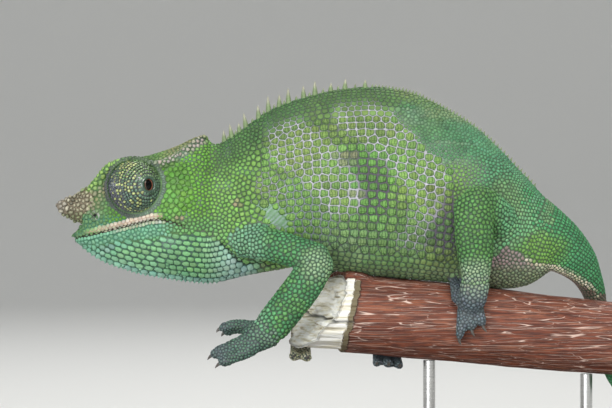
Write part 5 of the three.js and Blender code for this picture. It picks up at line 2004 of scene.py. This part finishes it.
def break_x(y, z):
    """Where the broken face is at y and z: a slanting plane, ridged along the grain by noise that is
    stretched along the branch, with one deep crack across the middle."""
    way, place = BREAK["way"], BREAK["place"]
    flat = place[0] - (way[1] * (y - place[1]) + way[2] * (z - place[2])) / way[0]
    where = np.stack([flat * 0.1, y * 0.3, z], axis=-1)
    splinters = 1.6 * (noise(where, 1.5, 81) - 0.5) + 0.8 * (noise(where, 0.55, 83) - 0.5)
    return flat + splinters + 1.7 * ridge_at(crack_height(y, z), 0.4)


def peel_x(y, z):
    """Where the bark begins behind the break: a slanting torn edge on the near side."""
    torn = noise(np.stack([y * 0, y, z], axis=1), 1.6, 85) - 0.5
    return PEEL["x"] + PEEL["slant"] * (z - PEEL["z"]) + torn


def perch_ring(x, share, compass):
    """One ring of the branch's section at x, drawn in to a share of its radius."""
    radius = perch_radius(x) * share
    return radius[:, None] * compass + np.stack([x * 0, perch_height(x)], axis=-1)


def bark_ring(edge, share, compass):
    """One ring of the bark, at a share of the way from the break's edge to the sawn end: the places of its
    points, raised by lumps and plates, a little more under the belly and in a frayed lip above the break,
    and how bare it is."""
    x = edge + (PERCH["right"] - 0.6 - edge) * share
    base = perch_ring(x, 1.0, compass)
    y, z = base.T
    lumps = 0.5 * grain_noise(x, base, 3, 6.0, 91)
    plates = 0.5 * grain_noise(x, base, 7, 1.7, 93) + 0.2 * grain_noise(x, base, 7, 0.7, 95)
    seat = 0.6 * ease(compass[:, 1], 0.7, 0.95) * ease(x, -16, -8) * (1 - ease(x, 26, 60))
    rough = lumps + plates - 0.1 + seat
    fray = ease(z, 56.5, 58) * ease(1 - x, 0, 4) * (0.85 + 0.9 * grain_noise(x, base, 4, 1.2, 98))
    peeled = ease(peel_x(y, z) - x, -0.15, 0.15) * ease(-y, -5, -2) * ease(58.2 - z, 0, 0.5)
    grain = 0.5 * grain_noise(x, base, 16, 0.8, 97) - 0.75
    raised = (rough + fray + (grain - rough) * peeled) * ease(share, -0.001, 0.004)
    return np.column_stack([x, base + compass * raised[:, None]]), peeled


def perch_tint(points, bare, broken):
    """What darkens the branch: the broken face's edge, the torn edge of the bark, grey-brown with painted
    shadow, and painted shade in the crack. broken is the share of the radius for each point of the broken
    face. Returns the tint and how bare it is."""
    x, y, z = points.T
    tint = np.ones((len(points), 3))
    tint[:len(broken)] *= (1 - 0.6 * ease(broken, 0.9, 0.95))[:, None]
    tint[len(broken):] *= (1 - 0.12 * bare[len(broken):])[:, None]
    behind_peel = x - peel_x(y, z)
    # Painted shadow along the torn edge of the bark, laid with its grey-brown tone.
    torn = ease(behind_peel, -0.1, 0.2) * (1 - ease(behind_peel, 1.3, 2.2)) * (y < -1) * (z < 58)
    tint = blend(tint, TORN_EDGE_TONE_AND_SHADE, ease(torn, 0, 0.5))
    bare = np.maximum(bare, ease(torn, 0.7, 0.9))
    # Painted shade: the deep crack of the broken face darkened.
    crack = ridge_at(crack_height(y, z), 0.35) * bare * (x < 0)
    return tint * (1 - 0.8 * crack)[:, None], bare


def make_perch():
    """The cut branch: bark carried along it, the broken face at the left end and the sawn one at the
    right. Rings shrink over each face to its middle."""
    around, rings = 216, 330
    turn = 2 * np.pi * np.arange(around) / around
    compass = np.stack([np.sin(turn), np.cos(turn)], axis=1)
    edge = np.full(around, -12.0)
    for _ in range(6):
        edge = break_x(*perch_ring(edge, 0.97, compass).T)
    edge = np.clip(edge, PERCH["left"], PERCH["right"])
    layers, bare = [], []
    for share in BREAK_SHARES:
        flat = perch_ring(edge, share, compass)
        layers.append(np.column_stack([break_x(*flat.T), flat]))
        bare.append(np.ones(around))
    for share in np.linspace(0, 1, rings) ** 1.06:
        layer, peeled = bark_ring(edge, share, compass)
        layers.append(layer)
        bare.append(peeled)
    for share, beyond in SAWN_RINGS:
        sawn = np.full(around, PERCH["right"] + beyond)
        layers.append(np.column_stack([sawn, perch_ring(sawn, share, compass)]))
        bare.append(np.full(around, float(share < SAWN_RINGS[0][0])))
    points, faces = closed(np.array(layers))
    tint, bare = perch_tint(points, np.concatenate([*bare, [1.0, 1.0]]), np.repeat(BREAK_SHARES, around))
    make_piece("perch_bark", (points, faces), perch_material(), ["perch"], tint, {"bare": bare})


# ---- the stand ----

def cad_box(node):
    """The low and high corners of a solid, in millimetres."""
    return (np.array(corner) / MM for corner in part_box(node))


def turned(middle, profile, around):
    """A profile of [radius, height] turned round an upright line, as a grid of rings."""
    turn = 2 * np.pi * np.arange(around) / around
    compass = np.stack([np.cos(turn), np.sin(turn)], axis=1)
    return np.array([
        np.column_stack([middle[:2] + radius * compass, np.full(around, height)])
        for radius, height in profile
    ])


def make_base(settings):
    """The base: a rounded rectangle carried up a profile with softened edges."""
    low, high = cad_box("stand_base")
    middle, half = (low + high) / 2, (high - low) / 2
    corner, soft, thick = settings.corner / MM, 1.4, high[2] - low[2]
    turn = 2 * np.pi * np.arange(160) / 160
    compass = np.stack([np.cos(turn), np.sin(turn)], axis=1)
    straight = np.sign(compass) * (half[:2] - corner)
    arc = np.linspace(0, np.pi / 2, 9)
    profile = [(8.0, 0.0), (soft, 0.0)]
    profile += [(0.5 - 0.5 * np.sin(a), 0.5 - 0.5 * np.cos(a)) for a in arc[::2]]
    profile += [(soft - soft * np.cos(a), thick - soft + soft * np.sin(a)) for a in arc]
    profile += [(inset, thick) for inset in (3.0, 8.0, 12.5)]
    layers = [
        np.column_stack([middle[:2] + straight + compass * (corner - inset), np.full(len(turn), low[2] + z)])
        for inset, z in profile
    ]
    make_piece("stand_plate", closed(np.array(layers)), stand_material(), ["stand_base"])


def make_rod(name, steel):
    """A rod turned with a small collar at its foot."""
    low, high = cad_box(name)
    middle, radius = (low + high) / 2, (high[0] - low[0]) / 2
    foot, top, core = low[2], high[2] - 0.2, 0.3
    profile = [(core, foot - 0.3), (radius + 1.5, foot - 0.3), (radius + 1.5, foot + 0.9)]
    profile += [(radius + 1.2, foot + 1.3), (radius, foot + 1.5), (radius, foot + 5)]
    profile += [(radius, top - 1), (radius, top), (core, top)]
    piece = make_piece(f"{name}_turned", closed(turned(middle, profile, 48)), steel, [name])
    piece.data.shade_smooth()
    piece.data.set_sharp_from_angle(angle=0.6)


# ---- the studio ----

# The lamps: place, size in metres, power in watts, and colour. They all point at AIM.
LAMPS = {
    "key": ((0.12, -0.7, 0.75), 0.4, 6.2, (1.0, 0.98, 0.94)),
    "fill": ((-0.4, -0.95, 0.14), 0.6, 7.6, (0.95, 0.98, 1.0)),
    "top": ((0.1, 0.4, 0.75), 0.5, 2.8, (1.0, 1.0, 1.0)),
}
AIM = (0.0, 0.0, 0.08)
FLOOR = {"flat": 1.1, "bend": 0.9, "top": 1.6}


def look_at(place, aim):
    """The turn about X and Z that points a lamp's -Z from place to aim."""
    way = np.array(aim) - np.array(place)
    tilt = np.arctan2(way[2], np.hypot(way[0], way[1]))
    return np.pi / 2 + tilt, 0, np.arctan2(way[1], way[0]) - np.pi / 2


def make_floor(settings):
    """A pale floor that curves up all round into a backdrop."""
    flat, bend = FLOOR["flat"], FLOOR["bend"]
    profile = [(0.001, 0.0), (0.3, 0.0), (flat, 0.0)]
    profile += [(flat + bend * np.sin(a), bend - bend * np.cos(a)) for a in np.linspace(0.05, np.pi / 2, 24)]
    profile += [(flat + bend, FLOOR["top"])]
    grid = turned(np.zeros(2), profile, 128)
    points, faces = closed(grid)
    mesh = bpy.data.meshes.new("studio_floor")
    fill_mesh(mesh, points, [ring_faces(*grid.shape[:2])[:, ::-1], faces[1][:grid.shape[1]]])
    floor = bpy.data.objects.new("studio_floor", mesh)
    bpy.context.scene.collection.objects.link(floor)
    made, finish, shader = material("studio paper", 0.9)
    pale = np.array(settings.paper)
    paper = finish.ramp(finish.grain((900, 900, 900), 2.0), [(0.2, tuple(pale * 0.98)), (0.8, tuple(pale))])
    finish.feed(shader, "Base Color", paper)
    mesh.materials.append(made)


def make_stage(settings):
    """The floor, soft lights, and the camera."""
    make_floor(settings)
    scene = bpy.context.scene
    scene.world = bpy.data.worlds.new("studio light")
    scene.world.use_nodes = True
    background = scene.world.node_tree.nodes["Background"]
    background.inputs["Color"].default_value = (0.95, 0.97, 1, 1)
    background.inputs["Strength"].default_value = 0.36
    for name, (place, size, power, colour) in LAMPS.items():
        light = bpy.data.lights.new(name, "AREA")
        light.shape = "DISK"
        light.size, light.energy, light.color = size, power, colour
        lamp = bpy.data.objects.new(name, light)
        lamp.location = place
        lamp.rotation_euler = look_at(place, AIM)
        scene.collection.objects.link(lamp)
    camera = bpy.data.cameras.new("camera")
    camera.lens, camera.sensor_width = 126, 36
    camera.clip_start, camera.clip_end = 0.01, 20
    holder = bpy.data.objects.new("camera", camera)
    holder.location = (-0.0185, -settings.distance, 0.0791)
    holder.rotation_euler = (np.pi / 2, 0, 0)
    scene.collection.objects.link(holder)
    scene.camera = holder
    scene.view_settings.view_transform = "Standard"


# ---- the add-on ----

def length(name, description, default):
    """A length that a user may set."""
    return FloatProperty(
        name=name, description=description, default=default, min=0, unit="LENGTH", precision=5
    )


def tone(name, description, default):
    """A colour that a user may set."""
    return FloatVectorProperty(
        name=name, description=description, default=default, size=3, min=0, max=1, subtype="COLOR"
    )


class CHAMELEON_PG_coat(bpy.types.PropertyGroup):
    """Sizes and colours of the hide and its scales."""

    coat_depth: length("Coat depth", "How far the hide lies inside the animal's outline", 0.0003)
    voxel: length("Hide grain", "The pitch that the hide's parts are fused at", 0.00068)
    flank_green: tone("Flank green", "The flank's scales", (0.172, 0.325, 0.08))
    throat_green: tone("Throat green", "The plates of the throat", (0.19, 0.4, 0.2))
    lip_pink: tone("Lip", "The scales along the mouth", (0.56, 0.5, 0.4))
    foot_grey: tone("Feet", "The scales of the feet and toes", (0.135, 0.165, 0.18))
    net_pale: tone("Pale net", "The lines between the flank's scales", (0.44, 0.43, 0.49))


class CHAMELEON_PG_details(bpy.types.PropertyGroup):
    """Colours and sizes of the eyes, the stand and the studio."""

    iris: tone("Iris", "The ring round the pupil", (0.45, 0.13, 0.08))
    corner: length("Base corner", "The radius of the base's corners", 0.014)
    distance: length("Camera distance", "How far the camera stands from the animal's middle", 0.6)
    paper: tone("Studio paper", "The floor and backdrop", (0.8, 0.8, 0.78))


class CHAMELEON_OT_hide(bpy.types.Operator):
    """Fuses the flesh into one hide"""

    bl_idname = "chameleon.hide"
    bl_label = "Hide"

    def execute(self, context):
        make_hide(context.scene.chameleon_coat)
        return {"FINISHED"}


class CHAMELEON_OT_scales(bpy.types.Operator):
    """Covers the hide with solid scales"""

    bl_idname = "chameleon.scales"
    bl_label = "Scales"

    def execute(self, context):
        make_coat(context.scene.chameleon_coat)
        return {"FINISHED"}


class CHAMELEON_OT_turrets(bpy.types.Operator):
    """Makes the eyes' beaded turrets"""

    bl_idname = "chameleon.turrets"
    bl_label = "Turrets"

    def execute(self, context):
        lid = lid_material()
        for name in SIDES:
            make_turret(name, lid)
        return {"FINISHED"}


class CHAMELEON_OT_eyeballs(bpy.types.Operator):
    """Makes the eyeballs"""

    bl_idname = "chameleon.eyeballs"
    bl_label = "Eyeballs"

    def execute(self, context):
        wet = eye_material()
        for name in SIDES:
            make_eyeball(name, wet, context.scene.chameleon_details)
        return {"FINISHED"}


class CHAMELEON_OT_horns(bpy.types.Operator):
    """Makes the two horns and their bumps"""

    bl_idname = "chameleon.horns"
    bl_label = "Horns"

    def execute(self, context):
        horn = horn_material()
        for name in SIDES:
            make_horn(name, horn)
        return {"FINISHED"}


class CHAMELEON_OT_spines(bpy.types.Operator):
    """Sets the cones of the back's crest"""

    bl_idname = "chameleon.spines"
    bl_label = "Crest spines"

    def execute(self, context):
        make_spines()
        return {"FINISHED"}


class CHAMELEON_OT_claws(bpy.types.Operator):
    """Makes a claw for each toe"""

    bl_idname = "chameleon.claws"
    bl_label = "Claws"

    def execute(self, context):
        make_claws()
        return {"FINISHED"}


class CHAMELEON_OT_perch(bpy.types.Operator):
    """Makes the branch's bark and broken end"""

    bl_idname = "chameleon.perch"
    bl_label = "Perch"

    def execute(self, context):
        make_perch()
        return {"FINISHED"}


class CHAMELEON_OT_stand(bpy.types.Operator):
    """Makes the base and rods"""

    bl_idname = "chameleon.stand"
    bl_label = "Stand"

    def execute(self, context):
        make_base(context.scene.chameleon_details)
        steel = steel_material()
        for name in ("stand_rod_1", "stand_rod_2"):
            make_rod(name, steel)
        return {"FINISHED"}


class CHAMELEON_OT_stage(bpy.types.Operator):
    """Sets the floor, lights and camera"""

    bl_idname = "chameleon.stage"
    bl_label = "Studio"

    def execute(self, context):
        make_stage(context.scene.chameleon_details)
        return {"FINISHED"}


OPERATORS = [
    CHAMELEON_OT_hide, CHAMELEON_OT_scales, CHAMELEON_OT_turrets, CHAMELEON_OT_eyeballs, CHAMELEON_OT_horns,
    CHAMELEON_OT_spines, CHAMELEON_OT_claws, CHAMELEON_OT_perch, CHAMELEON_OT_stand, CHAMELEON_OT_stage,
]


class CHAMELEON_PT_panel(bpy.types.Panel):
    """Lists the settings, and a button for each group of pieces."""

    bl_idname = "CHAMELEON_PT_panel"
    bl_label = "Chameleon"
    bl_space_type = "VIEW_3D"
    bl_region_type = "UI"
    bl_category = "Chameleon"

    def draw(self, context):
        for group in (context.scene.chameleon_coat, context.scene.chameleon_details):
            box = self.layout.box()
            for key in group.bl_rna.properties.keys():
                if key not in ("rna_type", "name"):
                    box.prop(group, key)
        for made in OPERATORS:
            self.layout.operator(made.bl_idname)


CLASSES = [CHAMELEON_PG_coat, CHAMELEON_PG_details, *OPERATORS, CHAMELEON_PT_panel]


def register():
    """Adds the classes, and the settings to every scene."""
    for made in CLASSES:
        bpy.utils.register_class(made)
    bpy.types.Scene.chameleon_coat = PointerProperty(type=CHAMELEON_PG_coat)
    bpy.types.Scene.chameleon_details = PointerProperty(type=CHAMELEON_PG_details)


def unregister():
    """Takes away what register adds."""
    del bpy.types.Scene.chameleon_details
    del bpy.types.Scene.chameleon_coat
    for made in reversed(CLASSES):
        bpy.utils.unregister_class(made)


def main():
    """Makes every piece in order."""
    register()
    for made in OPERATORS:
        getattr(bpy.ops.chameleon, made.bl_idname.split(".")[1])()


if __name__ == "__main__":
    main()
